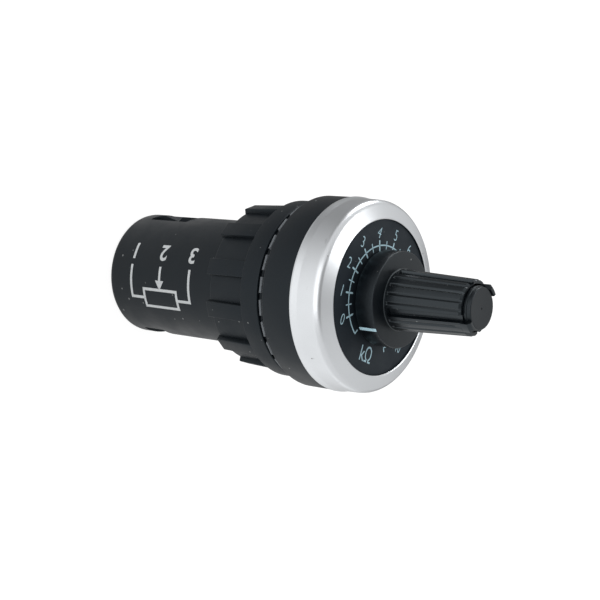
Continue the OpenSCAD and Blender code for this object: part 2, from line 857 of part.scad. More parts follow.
// Slotted screw that clamps a wire in its bay
module terminal_screw(i) {
    slot_turn = 30;
    head_r = screw_head_d / 2;
    color([0.78, 0.78, 0.75])
        rotate(bay_angle(i))
            translate([screw_circle_r, 0, 0])
                difference() {
                    rotate_extrude()
                        polygon([[0, head_z], [head_r - screw_chamfer, head_z],
                            [head_r, head_z + screw_chamfer], [head_r, clamp_z],
                            [screw_d / 2, clamp_z], [screw_d / 2, clamp_z + screw_len],
                            [0, clamp_z + screw_len]]);
                    rotate(slot_turn)
                        translate([-screw_head_d, -driver_slot_w / 2, head_z - cut])
                            cube([2 * screw_head_d, driver_slot_w, driver_slot_depth + cut]);
                }
}

// Nut with a flange and grip lugs
module ring_nut() {
    lead_in = 0.4;
    bore_r = thread_d / 2 + running_gap;
    color([0.12, 0.13, 0.14])
        difference() {
            union() {
                rotate_extrude()
                    nut_section(bore_r);
                intersection() {
                    for (i = [0:nut_lugs - 1])
                        rotate(nut_lug_angle + 360 * i / nut_lugs)
                            nut_lug();
                    rotate_extrude()
                        nut_lug_envelope(bore_r);
                }
            }
            translate([0, 0, nut_rear - lead_in])
                cylinder(r1 = bore_r + 2 * lead_in, r2 = bore_r, h = 2 * lead_in);
        }
}

// Turned section of the nut, with a small step between the flange and the hub
module nut_section(bore_r) {
    step_h = 0.2;
    step_len = 1;
    hub_r = nut_hub_d / 2;
    flange_r = nut_flange_d / 2;
    difference() {
        polygon([[bore_r, nut_front], [flange_r - nut_relief_w, nut_front],
            [flange_r - nut_relief_w, nut_flange_front], [flange_r, nut_flange_front],
            [flange_r, nut_flange_rear + nut_flange_chamfer],
            [flange_r - nut_flange_chamfer, nut_flange_rear],
            [hub_r + step_h, nut_flange_rear], [hub_r + step_h, nut_flange_rear - step_len],
            [hub_r, nut_flange_rear - step_len - step_h],
            [hub_r, nut_rear], [bore_r, nut_rear]]);
        corner_waste(hub_r, nut_rear, nut_flange_chamfer, false);
    }
}

// One grip lug with its two outer edges eased
module nut_lug() {
    ease = 0.2;
    sunk = 0.4;
    w = nut_lug_w / 2;
    high = sunk + nut_lug_h;
    translate([nut_hub_d / 2 - sunk, 0, nut_rear])
        linear_extrude(nut_hub_len + sunk)
            polygon([[0, -w], [high - ease, -w], [high + ease, -w + 2 * ease],
                [high + ease, w - 2 * ease], [high - ease, w], [0, w]]);
}

// Turned space that the grip lugs fill, rounded at the rear
module nut_lug_envelope(bore_r) {
    lug_tip_r = nut_hub_d / 2 + nut_lug_h;
    difference() {
        translate([bore_r, nut_rear])
            square([lug_tip_r - bore_r, nut_hub_len + cut]);
        corner_waste(lug_tip_r, nut_rear, nut_lug_round, false);
    }
}

// Toothed ring that keeps the nut from working loose, keyed to the thread
module lock_ring() {
    r = lock_ring_d / 2;
    bore_r = thread_d / 2 + loose_gap;
    gap_w = (1 - lock_tooth_share) * PI * lock_ring_d / lock_teeth;
    key_w = keyway_w - 2 * loose_gap;
    key_r = thread_d / 2 - keyway_depth + loose_gap;
    color([0.2, 0.22, 0.24]) {
        difference() {
            tube(r, bore_r, nut_front, lock_front);
            for (i = [0:lock_teeth - 1])
                rotate(360 * i / lock_teeth)
                    translate([r - lock_tooth_depth, -gap_w / 2, nut_front - cut])
                        cube([2 * lock_tooth_depth, gap_w, lock_ring_t + 2 * cut]);
        }
        rotate(key_angle)
            translate([key_r, -key_w / 2, nut_front])
                cube([bore_r - key_r + 2 * loose_gap, key_w, lock_ring_t]);
    }
}

housing();
bezel();
dial();
gasket();
knob();
knob_cap();
pot_shaft();
shaft_clip();
pot_bushing();
pot_washer();
pot_nut();
pot_wafer();
carbon_track();
collector_ring();
rotor();
wiper();
pot_cover();
pot_lug(1);  // pot_lug_1
pot_lug(2);  // pot_lug_2
pot_lug(3);  // pot_lug_3
inner_lead(1);  // inner_lead_1
inner_lead(2);  // inner_lead_2
inner_lead(3);  // inner_lead_3
terminal_block();
terminal_plate(1);  // terminal_plate_1
terminal_plate(2);  // terminal_plate_2
terminal_plate(3);  // terminal_plate_3
clamp_washer(1);  // clamp_washer_1
clamp_washer(2);  // clamp_washer_2
clamp_washer(3);  // clamp_washer_3
terminal_screw(1);  // terminal_screw_1
terminal_screw(2);  // terminal_screw_2
terminal_screw(3);  // terminal_screw_3
ring_nut();
lock_ring();
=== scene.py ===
"""Rotary potentiometer for a 22 mm panel hole: its finished pieces, its finishes and its studio."""
import math

import bmesh
import bpy
from mathutils import Matrix, Vector


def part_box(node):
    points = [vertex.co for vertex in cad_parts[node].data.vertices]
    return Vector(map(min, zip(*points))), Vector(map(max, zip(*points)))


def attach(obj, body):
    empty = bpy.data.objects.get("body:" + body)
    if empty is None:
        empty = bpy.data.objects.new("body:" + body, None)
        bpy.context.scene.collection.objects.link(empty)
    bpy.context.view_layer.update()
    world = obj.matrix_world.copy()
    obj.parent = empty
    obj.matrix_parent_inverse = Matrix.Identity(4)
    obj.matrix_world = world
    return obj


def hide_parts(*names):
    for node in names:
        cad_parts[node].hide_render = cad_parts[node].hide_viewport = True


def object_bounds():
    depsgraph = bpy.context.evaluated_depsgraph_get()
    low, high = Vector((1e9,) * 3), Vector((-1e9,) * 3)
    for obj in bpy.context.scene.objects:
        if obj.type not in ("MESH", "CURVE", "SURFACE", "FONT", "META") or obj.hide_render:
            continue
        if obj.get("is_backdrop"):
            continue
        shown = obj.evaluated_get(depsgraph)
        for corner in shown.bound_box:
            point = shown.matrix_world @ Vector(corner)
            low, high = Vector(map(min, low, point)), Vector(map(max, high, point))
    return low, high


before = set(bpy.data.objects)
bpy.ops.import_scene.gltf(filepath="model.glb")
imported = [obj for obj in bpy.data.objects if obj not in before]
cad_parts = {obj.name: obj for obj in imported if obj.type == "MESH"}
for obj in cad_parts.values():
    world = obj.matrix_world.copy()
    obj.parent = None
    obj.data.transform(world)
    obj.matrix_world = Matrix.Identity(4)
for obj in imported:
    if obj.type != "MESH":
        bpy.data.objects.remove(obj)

bl_info = {
    "name": "Panel potentiometer",
    "version": (1, 0, 0),
    "blender": (4, 5, 0),
    "location": "3D View > Sidebar > Potentiometer",
    "description": "Models and finishes a panel-mount rotary potentiometer round its packed frame",
    "category": "Object",
}

MM = 0.001
FULL_TURN = 2 * math.pi
# Vertices nearer to each other than this are one
MERGE = 0.002 * MM
# Tint of the sheen on black plastic
COOL = (0.8, 0.92, 1.0, 1.0)
# Radius of the knob's bore round its shaft
KNOB_BORE = 3.03 * MM
# Height of the dial's seat above the shoulder that carries the bezel
SEAT_HEIGHT = 0.55 * MM
# How many numbers the dial has, from nought, and which one is at the top
NUMBERS = 11
MIDDLE_NUMBER = 5
BOX = {name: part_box(name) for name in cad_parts}


def low_z(node):
    """Lowest height of a node."""
    return BOX[node][0].z


def top_z(node):
    """Highest height of a node."""
    return BOX[node][1].z


def radius_of(node):
    """Radius of a round node that stands on the axis."""
    return BOX[node][1].x


def length(title, about, default):
    """A length property in metres."""
    return bpy.props.FloatProperty(
        name=title, description=about, default=default, precision=5, unit="LENGTH", subtype="DISTANCE"
    )


def angle(title, about, degrees):
    """An angle property, given in degrees."""
    return bpy.props.FloatProperty(
        name=title, description=about, default=math.radians(degrees), unit="ROTATION", subtype="ANGLE"
    )


def count(title, about, default):
    """A whole-number property."""
    return bpy.props.IntProperty(name=title, description=about, default=default, min=1)


def share(title, about, default):
    """A property between nothing and all."""
    return bpy.props.FloatProperty(
        name=title, description=about, default=default, min=0.0, max=1.0, subtype="FACTOR"
    )


def power(title, about, default):
    """The power of a lamp in watts."""
    return bpy.props.FloatProperty(
        name=title, description=about, default=default, min=0.0, precision=3, unit="POWER", subtype="POWER"
    )


def tint(title, about, red, green, blue):
    """A colour property, given as the eight-bit values of a swatch."""
    return bpy.props.FloatVectorProperty(
        name=title,
        description=about,
        default=linear(red, green, blue),
        size=3,
        min=0.0,
        max=1.0,
        subtype="COLOR",
    )


def linear(red, green, blue):
    """Scene-linear colour of an eight-bit swatch."""
    def decode(value):
        value = value / 255
        if value <= 0.04045:
            return value / 12.92
        return ((value + 0.055) / 1.055) ** 2.4

    return (decode(red), decode(green), decode(blue))


class BezelSizes(bpy.types.PropertyGroup):
    """Sizes of the silver bezel ring."""

    foot_height: length("Foot height", "Straight height at the rear edge", 0.3 * MM)
    flare_height: length("Flare height", "Height over which the foot narrows", 1.25 * MM)
    flare_width: length("Flare width", "Radius that the foot loses", 0.2 * MM)
    rim_step: length("Rim step", "Radius from the rear edge in to the rolled rim", 0.3 * MM)
    rim_radius: length("Rim radius", "Radius of the rolled front rim", 1.2 * MM)
    band_slope: angle("Band slope", "Slope of the front band", 20)
    lip_radius: length("Lip radius", "Radius of the window that shows the dial", 11.45 * MM)
    lip_edge: length("Lip edge", "Thickness of the lip at the window", 0.14 * MM)
    wall: length("Wall", "Wall of the ring round the spigot", 1.55 * MM)


class KnobSizes(bpy.types.PropertyGroup):
    """Sizes of the knob."""

    skirt_radius: length("Skirt radius", "Radius of the skirt", 7.05 * MM)
    skirt_height: length("Skirt height", "Height of the skirt", 3.0 * MM)
    skirt_ease: length("Skirt ease", "Rounding of the skirt's front edge", 0.17 * MM)
    base_radius: length("Base radius", "Radius of the handle at the skirt", 4.45 * MM)
    tip_radius: length("Tip radius", "Radius of the handle at its end", 4.0 * MM)
    handle_length: length("Handle length", "Length of the handle", 12.45 * MM)
    foot: length("Foot", "Plain length of the handle under the flutes", 0.45 * MM)
    flutes: count("Flutes", "Flutes round the handle, deep slots included", 20)
    flute_depth: length("Flute depth", "Depth of a narrow flute", 0.22 * MM)
    slot_depth: length("Slot depth", "Depth of a deep slot", 0.72 * MM)
    slots: count("Slots", "Deep slots among the flutes", 4)
    jaws: count("Jaws", "Jaws that pass the end of the handle", 2)
    end_chamfer: length("End chamfer", "Chamfer round the end of the handle", 0.26 * MM)
    jaw_span: angle("Jaw span", "Width of a jaw round the axis", 24)
    jaw_angle: angle("Jaw angle", "Angle from a deep slot to the next jaw", 22)
    jaw_wall: length("Jaw wall", "Thickness of a jaw", 0.84 * MM)
    slot_angle: angle("Slot angle", "Angle from the pointer to the first deep slot", -14.5)
    pointer_angle: angle("Pointer angle", "Angle of the pointer at the lowest setting", 235)
    pointer_width: length("Pointer width", "Width of the pointer bar", 0.62 * MM)
    pointer_rise: length("Pointer rise", "Height of the pointer bar above the skirt", 0.09 * MM)


class NutSizes(bpy.types.PropertyGroup):
    """Sizes of the ring nut and of the thread that it runs on."""

    flange_radius: length("Flange radius", "Radius of the flange", 13.45 * MM)
    flange_height: length("Flange height", "Height of the flange", 3.45 * MM)
    hub_radius: length("Hub radius", "Radius of the hub", 11.95 * MM)
    lugs: count("Lugs", "Grip lugs round the hub", 12)
    lug_width: length("Lug width", "Width of a grip lug", 2.5 * MM)
    lug_height: length("Lug height", "Height of a grip lug above the hub", 0.85 * MM)
    lug_angle: angle("Lug angle", "Angle of the first lug", 4.8)
    boss_angle: angle("Boss angle", "Angle of the small boss between two lugs", -111)
    boss_height: length("Boss height", "Height of the boss along the axis", -8.1 * MM)
    lug_overhang: length("Lug overhang", "Length by which a lug passes the hub's rear face", 0.3 * MM)
    pitch: length("Thread pitch", "Pitch of the panel thread", 1.5 * MM)
    thread_radius: length("Thread radius", "Outer radius of the panel thread", 11.0 * MM)
    thread_depth: length("Thread depth", "Depth of the panel thread", 0.85 * MM)


class LockSizes(bpy.types.PropertyGroup):
    """Sizes of the lock ring."""

    bore_radius: length("Bore radius", "Radius of the hole round the thread", 11.1 * MM)
    teeth: count("Teeth", "Teeth round the edge", 26)
    tooth_width: length("Tooth width", "Length of a tooth round the edge", 2.3 * MM)
    tooth_height: length("Tooth height", "Height of a tooth above the ring", 0.45 * MM)
    tooth_thickness: length("Tooth thickness", "Thickness of a tooth along the axis", 0.36 * MM)


class HousingSizes(bpy.types.PropertyGroup):
    """Sizes of the housing."""

    head_radius: length("Head radius", "Radius of the head ring", 14.4 * MM)
    head_height: length("Head height", "Height of the head ring", 5.25 * MM)
    barrel_radius: length("Barrel radius", "Radius of the barrel", 9.75 * MM)
    barrel_wall: length("Barrel wall", "Wall of the barrel", 1.25 * MM)
    rear_ease: length("Rear ease", "Rounding of the barrel's rear edge", 0.85 * MM)
    window_angle: angle("Window angle", "Angle of the long latch window", 107)
    window_width: length("Window width", "Width of the latch windows", 8.0 * MM)
    window_rear: length("Window rear", "Distance from the barrel's rear end to the windows", 3.0 * MM)
    long_window: length("Long window", "Length of the long window", 8.2 * MM)
    short_window: length("Short window", "Length of the short window", 4.4 * MM)
    keyway_angle: angle("Keyway angle", "Angle of the keyway along the thread", 90)
    keyway_width: length("Keyway width", "Width of the keyway", 3.0 * MM)
    keyway_depth: length("Keyway depth", "Depth of the keyway", 0.9 * MM)


class PrintSizes(bpy.types.PropertyGroup):
    """Sizes of the scale on the dial and of the marks on the barrel."""

    arc_radius: length("Arc radius", "Radius of the scale's arc", 7.62 * MM)
    arc_width: length("Arc width", "Width of the arc's line", 0.2 * MM)
    unit_angle: angle("Unit angle", "Angle between two numbers", 25.5)
    top_angle: angle("Top angle", "Angle of the middle number", 90)
    half_arc: angle("Half arc", "Angle from the middle to an end of the arc", 150)
    number_radius: length("Number radius", "Distance from the axis to the numbers", 9.36 * MM)
    number_lift: length("Number lift", "Shift of the numbers towards the middle number", 0.2 * MM)
    number_height: length("Number height", "Height of the numbers", 1.62 * MM)
    unit_height: length("Unit height", "Height of the unit sign", 2.4 * MM)
    unit_radius: length("Unit radius", "Distance from the axis to the unit sign", 8.55 * MM)
    ink: length("Ink", "Thickness of the printed ink", 0.012 * MM)
    mark_angle: angle("Mark angle", "Angle of the marks' middle on the barrel", 197)
    mark_height: length("Mark height", "Height of the marks' middle on the barrel", -25.4 * MM)
    mark_size: length("Mark size", "Height of the terminal numbers", 2.7 * MM)
    mark_spacing: length("Mark spacing", "Distance between the terminal numbers", 6.3 * MM)
    mark_row: length("Mark row", "Distance from the marks' middle to the numbers", 3.9 * MM)


class Finishes(bpy.types.PropertyGroup):
    """Colours of the finishes."""

    moulding: tint("Black moulding", "Housing and nut", 9, 14, 19)
    knob: tint("Knob moulding", "Knob and cap", 5, 8, 12)
    dial: tint("Dial", "Dial plate", 16, 23, 30)
    silver: tint("Silver", "Bezel", 222, 225, 228)
    ink: tint("Ink", "Scale, pointer and marks", 176, 208, 220)
    brass: tint("Brass", "Terminal plates", 214, 178, 98)
    steel: tint("Steel", "Cover, shaft and clip", 188, 188, 186)


class StudioSettings(bpy.types.PropertyGroup):
    """Camera and light of the studio."""

    azimuth: angle("Azimuth", "Direction of the camera round the object", -77.13)
    elevation: angle("Elevation", "Height of the camera above the horizon", 39.09)
    roll: angle("Roll", "Turn of the camera about its own axis", 96.7)
    stand: bpy.props.FloatVectorProperty(
        name="Stand",
        description="Place of the camera",
        default=(-151.1 * MM, -36.3 * MM, 121.8 * MM),
        size=3,
        precision=4,
        unit="LENGTH",
        subtype="TRANSLATION",
    )
    lens: bpy.props.FloatProperty(
        name="Lens",
        description="Focal length of the camera",
        default=78.57,
        min=1.0,
        unit="CAMERA",
        subtype="DISTANCE_CAMERA",
    )
    key: power("Key", "Power of the panel on the right", 0.16)
    front: power("Front", "Power of the panel at the camera", 0.3)
    rim: power("Rim", "Power of the panel over the top edge", 0.5)
    near_side: share("Near side", "Room light on the camera's left", 0.85)
    far_side: share("Far side", "Room light on the far right", 0.68)
    dark_spot: share("Dark spot", "Share of the room light that is left over the dial", 0.3)
    floor_white: share("Floor white", "Light that lifts the floor to white for the camera", 0.87)
    floor_glow: share("Floor glow", "Most light that glossy pieces see in the floor", 0.84)


SETTINGS = {
    "pot_bezel": BezelSizes,
    "pot_knob": KnobSizes,
    "pot_nut": NutSizes,
    "pot_lock": LockSizes,
    "pot_housing": HousingSizes,
    "pot_print": PrintSizes,
    "pot_finishes": Finishes,
    "pot_studio": StudioSettings,
}


def deselect():
    """Leave edit mode and select nothing."""
    active = bpy.context.view_layer.objects.active
    if active is not None and active.mode != "OBJECT":
        bpy.ops.object.mode_set(mode="OBJECT")
    bpy.ops.object.select_all(action="DESELECT")


def pick(*pieces):
    """Select these pieces alone, the first one active."""
    deselect()
    for piece in pieces:
        piece.select_set(True)
    bpy.context.view_layer.objects.active = pieces[0]
    return pieces[0]


def named(name):
    """Name the piece that was just added."""
    piece = bpy.context.object
    piece.name = name
    piece.data.name = name
    return piece


def choose(piece, kind, test):
    """In edit mode, select the vertices, edges or faces that pass a test."""
    modes = {"verts": "VERT", "edges": "EDGE", "faces": "FACE"}
    bpy.ops.mesh.select_mode(type=modes[kind])
    bpy.ops.mesh.select_all(action="DESELECT")
    mesh = bmesh.from_edit_mesh(piece.data)
    chosen = [part for part in getattr(mesh, kind) if test(part)]
    for part in chosen:
        part.select_set(True)
    mesh.select_flush_mode()
    bmesh.update_edit_mesh(piece.data)
    if not chosen:
        raise RuntimeError(f"{piece.name}: no {kind} to select")


def eased(corners, steps=4):
    """Closed outline through (radius, height, rounding) corners."""
    outline = []
    last = len(corners) - 1
    for index, (radius, height, ease) in enumerate(corners):
        here = Vector((radius, 0, height))
        before = corners[index - 1]
        after = corners[0 if index == last else index + 1]
        back = (Vector((before[0], 0, before[1])) - here).normalized()
        ahead = (Vector((after[0], 0, after[1])) - here).normalized()
        half = back.angle(ahead) / 2
        if ease <= 0 or half > math.radians(88):
            outline.append(here)
            continue
        centre = here + (back + ahead).normalized() * ease / math.sin(half)
        reach = ease / math.tan(half)
        first = here + back * reach - centre
        second = here + ahead * reach - centre
        ways = [first.slerp(second, step / steps).normalized() for step in range(steps + 1)]
        outline += [centre + way * ease for way in ways]
    return outline


def arc(centre_radius, centre_height, radius, first, last, steps):
    """Points of an arc in the plane of the outline, with angles from the outward direction."""
    turns = [first + (last - first) * step / steps for step in range(steps + 1)]
    return [
        Vector((centre_radius + radius * math.cos(turn), 0, centre_height + radius * math.sin(turn)))
        for turn in turns
    ]


def draw(name, outline, closed=True):
    """Draw an outline in the plane of the axis, a vertex at a time, and stay in edit mode."""
    deselect()
    bpy.ops.mesh.primitive_plane_add(size=MM, location=(0, 0, 0))
    piece = named(name)
    bpy.ops.object.mode_set(mode="EDIT")
    bpy.ops.mesh.select_mode(type="VERT")
    bpy.ops.mesh.select_all(action="SELECT")
    bpy.ops.mesh.merge(type="CENTER")
    bpy.ops.transform.translate(value=outline[0])
    route = outline + outline[:1] if closed else outline
    for here, there in zip(route, route[1:]):
        bpy.ops.mesh.extrude_region_move(TRANSFORM_OT_translate={"value": there - here})
    if closed:
        bpy.ops.mesh.select_all(action="SELECT")
        bpy.ops.mesh.remove_doubles(threshold=MERGE)
    return piece


def close_up():
    """Merge what meets and turn the faces outwards, then leave edit mode."""
    bpy.ops.mesh.select_all(action="SELECT")
    bpy.ops.mesh.remove_doubles(threshold=MERGE)
    bpy.ops.mesh.normals_make_consistent(inside=False)
    bpy.ops.object.mode_set(mode="OBJECT")


def turned(name, outline, closed=True, steps=128):
    """A piece turned on the axis from its outline."""
    piece = draw(name, outline, closed)
    bpy.ops.mesh.select_all(action="SELECT")
    bpy.ops.mesh.spin(steps=steps, angle=FULL_TURN, center=(0, 0, 0), axis=(0, 0, 1))
    close_up()
    return piece


def swept(name, outline, first, span, steps):
    """A sector turned on the axis between two angles, with closed ends."""
    piece = draw(name, outline)
    bpy.ops.mesh.select_all(action="SELECT")
    bpy.ops.mesh.edge_face_add()
    bpy.ops.mesh.spin(steps=steps, angle=span, center=(0, 0, 0), axis=(0, 0, 1))
    close_up()
    centre = sum((Vector(v.co) for v in piece.data.vertices), Vector()) / len(piece.data.vertices)
    middle = math.atan2(centre.y, centre.x)
    return turn_to(piece, first + span / 2 - middle)


def turn_to(piece, turn):
    """Turn a piece about the axis and write the turn into its mesh."""
    pick(piece)
    piece.matrix_world = Matrix.Rotation(turn, 4, "Z") @ piece.matrix_world
    bpy.ops.object.transform_apply(location=True, rotation=True, scale=True)
    return piece


def moved(piece, offset):
    """Move a piece and write the move into its mesh."""
    pick(piece)
    piece.location = offset
    bpy.ops.object.transform_apply(location=True, rotation=True, scale=True)
    return piece


def block(name, low, high, ease, steps=3):
    """A box between two corners with rounded edges."""
    deselect()
    low, high = Vector(low), Vector(high)
    bpy.ops.mesh.primitive_cube_add(size=1, location=(low + high) / 2)
    piece = named(name)
    piece.scale = high - low
    bpy.ops.object.transform_apply(location=True, rotation=True, scale=True)
    bpy.ops.object.mode_set(mode="EDIT")
    bpy.ops.mesh.select_all(action="SELECT")
    bpy.ops.mesh.bevel(offset=ease, segments=steps, profile=0.5, clamp_overlap=True)
    close_up()
    return piece


def copied(piece, name, turn):
    """A copy with its own mesh, turned about the axis."""
    pick(piece)
    bpy.ops.object.duplicate(linked=False)
    copy = named(name)
    return turn_to(copy, turn)


def joined(name, pieces):
    """Several pieces made one."""
    pick(*pieces)
    bpy.ops.object.join()
    return named(name)


def cut(piece, tool):
    """Cut another piece out of this one and drop it."""
    pick(piece)
    change = piece.modifiers.new("cut", "BOOLEAN")
    change.operation = "DIFFERENCE"
    change.solver = "EXACT"
    change.object = tool
    bpy.ops.object.modifier_apply(modifier=change.name)
    bpy.data.objects.remove(tool)
    pick(piece)
    bpy.ops.object.mode_set(mode="EDIT")
    bpy.ops.mesh.select_all(action="SELECT")
    bpy.ops.mesh.remove_doubles(threshold=MERGE / 4)
    bpy.ops.object.mode_set(mode="OBJECT")
    if len(piece.data.polygons) == 0:
        raise RuntimeError(f"{piece.name}: nothing is left after the cut")


def done(piece, finish, body, replaces=(), smooth=32):
    """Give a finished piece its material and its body."""
    pick(piece)
    piece.data.materials.clear()
    piece.data.materials.append(finish)
    bpy.ops.object.shade_smooth_by_angle(angle=math.radians(smooth))
    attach(piece, body)
    if replaces:
        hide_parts(*replaces)
    return piece


def socket(sockets, identifier):
    """The socket with an identifier, because a Mix node uses each name more than once."""
    return next(item for item in sockets if item.identifier == identifier)


class Finish:
    """A material whose nodes read Object coordinates."""

    def __init__(self, name, colour, roughness, metallic=0.0, specular=0.5):
        """Start from even values, set on the shader's own sockets."""
        self.material = bpy.data.materials.new(name)
        self.material.use_nodes = True
        self.nodes = self.material.node_tree.nodes
        self.links = self.material.node_tree.links
        self.shader = self.nodes["Principled BSDF"]
        self.shader.inputs["Base Color"].default_value = (*colour, 1)
        self.shader.inputs["Roughness"].default_value = roughness
        self.shader.inputs["Metallic"].default_value = metallic
        self.shader.inputs["Specular IOR Level"].default_value = specular
        self.colour = None
        self.base = (*colour, 1)
        self.height = None
        self.place = self.nodes.new("ShaderNodeTexCoord").outputs["Object"]

    def stretched(self, x, y, z):
        """Coordinates stretched by a Mapping node."""
        mapping = self.nodes.new("ShaderNodeMapping")
        mapping.inputs["Scale"].default_value = (x, y, z)
        self.links.new(self.place, mapping.inputs["Vector"])
        return mapping.outputs["Vector"]

    def noise(self, scale, detail=3.0, place=None):
        """Noise with so many features to the metre."""
        texture = self.nodes.new("ShaderNodeTexNoise")
        texture.inputs["Scale"].default_value = scale
        texture.inputs["Detail"].default_value = detail
        self.links.new(place or self.place, texture.inputs["Vector"])
        return texture.outputs["Fac"]

    def rings(self, scale, place=None):
        """Fine turning marks along the axis."""
        texture = self.nodes.new("ShaderNodeTexWave")
        texture.bands_direction = "Z"
        texture.inputs["Scale"].default_value = scale
        texture.inputs["Distortion"].default_value = 2.0
        texture.inputs["Detail Scale"].default_value = 2.0
        self.links.new(place or self.place, texture.inputs["Vector"])
        return texture.outputs["Fac"]

    def math(self, operation, first, second=0.0):
        """One sum on two values."""
        node = self.nodes.new("ShaderNodeMath")
        node.operation = operation
        for socket, value in zip(node.inputs, (first, second)):
            if isinstance(value, (int, float)):
                socket.default_value = value
            else:
                self.links.new(value, socket)
        return node.outputs["Value"]

    def spread(self, value, low, high, least=0.0, most=1.0):
        """Map a stretch of a value to a range from least to most, held at its ends."""
        node = self.nodes.new("ShaderNodeMapRange")
        self.links.new(value, node.inputs["Value"])
        for name, number in (
            ("From Min", low),
            ("From Max", high),
            ("To Min", least),
            ("To Max", most),
        ):
            node.inputs[name].default_value = number
        return node.outputs["Result"]

    def specks(self, scale, size, filled):
        """Round specks up to a size, in a share of the cells of a grid."""
        cells = self.nodes.new("ShaderNodeTexVoronoi")
        cells.inputs["Scale"].default_value = scale
        self.links.new(self.place, cells.inputs["Vector"])
        split = self.nodes.new("ShaderNodeSeparateColor")
        self.links.new(cells.outputs["Color"], split.inputs["Color"])
        grown = self.math("MULTIPLY", split.outputs["Green"], size)
        near = self.math("LESS_THAN", cells.outputs["Distance"], grown)
        some = self.math("GREATER_THAN", split.outputs["Red"], 1 - filled)
        return self.math("MULTIPLY", near, some)

    def blend(self, mask, colour):
        """Lay a colour over the base where a mask is 1."""
        node = self.nodes.new("ShaderNodeMix")
        node.data_type = "RGBA"
        self.links.new(mask, node.inputs["Factor"])
        below = socket(node.inputs, "A_Color")
        if self.colour is None:
            below.default_value = self.base
        else:
            self.links.new(self.colour, below)
        socket(node.inputs, "B_Color").default_value = (*colour, 1)
        self.colour = socket(node.outputs, "Result_Color")
        self.links.new(self.colour, self.shader.inputs["Base Color"])

    def rough(self, value, least, most):
        """Let the roughness follow a value."""
        self.links.new(self.spread(value, 0.3, 0.7, least, most), self.shader.inputs["Roughness"])

    def bump(self, value, depth):
        """Add relief of a depth in metres."""
        node = self.nodes.new("ShaderNodeBump")
        node.inputs["Distance"].default_value = depth
        self.links.new(value, node.inputs["Height"])
        if self.height is not None:
            self.links.new(self.height, node.inputs["Normal"])
        self.height = node.outputs["Normal"]
        self.links.new(self.height, self.shader.inputs["Normal"])


def lighter(colour, factor):
    """A colour made lighter or darker by a factor."""
    return tuple(min(1.0, value * factor) for value in colour)


def black_moulding(name, colour, roughness=0.4, specular=0.32, dust=0.5):
    """Satin black moulded plastic with a fine spark-eroded grain and a little dust."""
    finish = Finish(name, colour, roughness, specular=specular)
    finish.shader.inputs["Specular Tint"].default_value = COOL
    clouds = finish.noise(260, detail=4.0)
    finish.blend(finish.spread(clouds, 0.35, 0.75, most=0.5), lighter(colour, 1.7))
    grain = finish.noise(5200, detail=2.0)
    finish.blend(finish.spread(grain, 0.55, 0.8, most=0.35), lighter(colour, 2.0))
    finish.blend(finish.specks(620, size=0.11, filled=dust), linear(128, 130, 130))
    finish.rough(clouds, least=roughness - 0.05, most=roughness + 0.08)
    finish.bump(grain, depth=0.008 * MM)
    finish.bump(finish.noise(420, detail=2.0), depth=0.01 * MM)
    return finish.material


def handle_moulding(name, colour):
    """Satin black plastic with streaks drawn along the handle."""
    finish = Finish(name, colour, 0.28, specular=0.62)
    finish.shader.inputs["Specular Tint"].default_value = COOL
    streaks = finish.noise(1500, detail=3.0, place=finish.stretched(1, 1, 0.06))
    finish.blend(finish.spread(streaks, 0.45, 0.75, most=0.6), lighter(colour, 1.8))
    grain = finish.noise(4200, detail=2.0)
    finish.blend(finish.spread(grain, 0.6, 0.8, most=0.3), lighter(colour, 2.2))
    finish.blend(finish.specks(900, size=0.13, filled=0.3), linear(140, 142, 142))
    finish.rough(streaks, least=0.24, most=0.36)
    finish.bump(grain, depth=0.006 * MM)
    finish.bump(streaks, depth=0.006 * MM)
    return finish.material


def silver_paint(name, colour):
    """Satin silver with a fine orange peel, tiny dark specks and short scratches."""
    finish = Finish(name, colour, 0.31, metallic=0.94)
    clouds = finish.noise(180, detail=3.0)
    finish.blend(finish.spread(clouds, 0.4, 0.7, most=0.3), lighter(colour, 0.9))
    flakes = finish.noise(9000, detail=1.0)
    finish.blend(finish.spread(flakes, 0.55, 0.8, most=0.25), lighter(colour, 0.8))
    finish.blend(finish.specks(520, size=0.1, filled=0.3), linear(112, 110, 108))
    scratches = finish.noise(900, detail=1.0, place=finish.stretched(1.0, 0.12, 0.5))
    finish.blend(finish.spread(scratches, 0.76, 0.8, most=0.35), linear(150, 152, 154))
    finish.rough(clouds, least=0.28, most=0.36)
    finish.bump(flakes, depth=0.0012 * MM)
    finish.bump(finish.noise(700, detail=2.0), depth=0.004 * MM)
    return finish.material


def dial_lacquer(name, colour):
    """Matt blue-black lacquer with an even fine grain and dust."""
    finish = Finish(name, colour, 0.55, specular=0.4)
    finish.shader.inputs["Specular Tint"].default_value = COOL
    grain = finish.noise(6500, detail=2.0)
    finish.blend(finish.spread(grain, 0.45, 0.75, most=0.5), lighter(colour, 1.8))
    finish.blend(finish.specks(560, size=0.1, filled=0.2), linear(112, 104, 104))
    finish.blend(finish.specks(1300, size=0.09, filled=0.12), linear(128, 128, 132))
    finish.rough(finish.noise(400), least=0.56, most=0.68)
    finish.bump(grain, depth=0.006 * MM)
    return finish.material


def pad_ink(name, colour):
    """Pale printed ink, a little uneven in its cover."""
    finish = Finish(name, colour, 0.5, specular=0.3)
    cover = finish.noise(2600, detail=3.0)
    finish.blend(finish.spread(cover, 0.5, 0.75, most=0.5), lighter(colour, 0.62))
    finish.bump(cover, depth=0.003 * MM)
    return finish.material


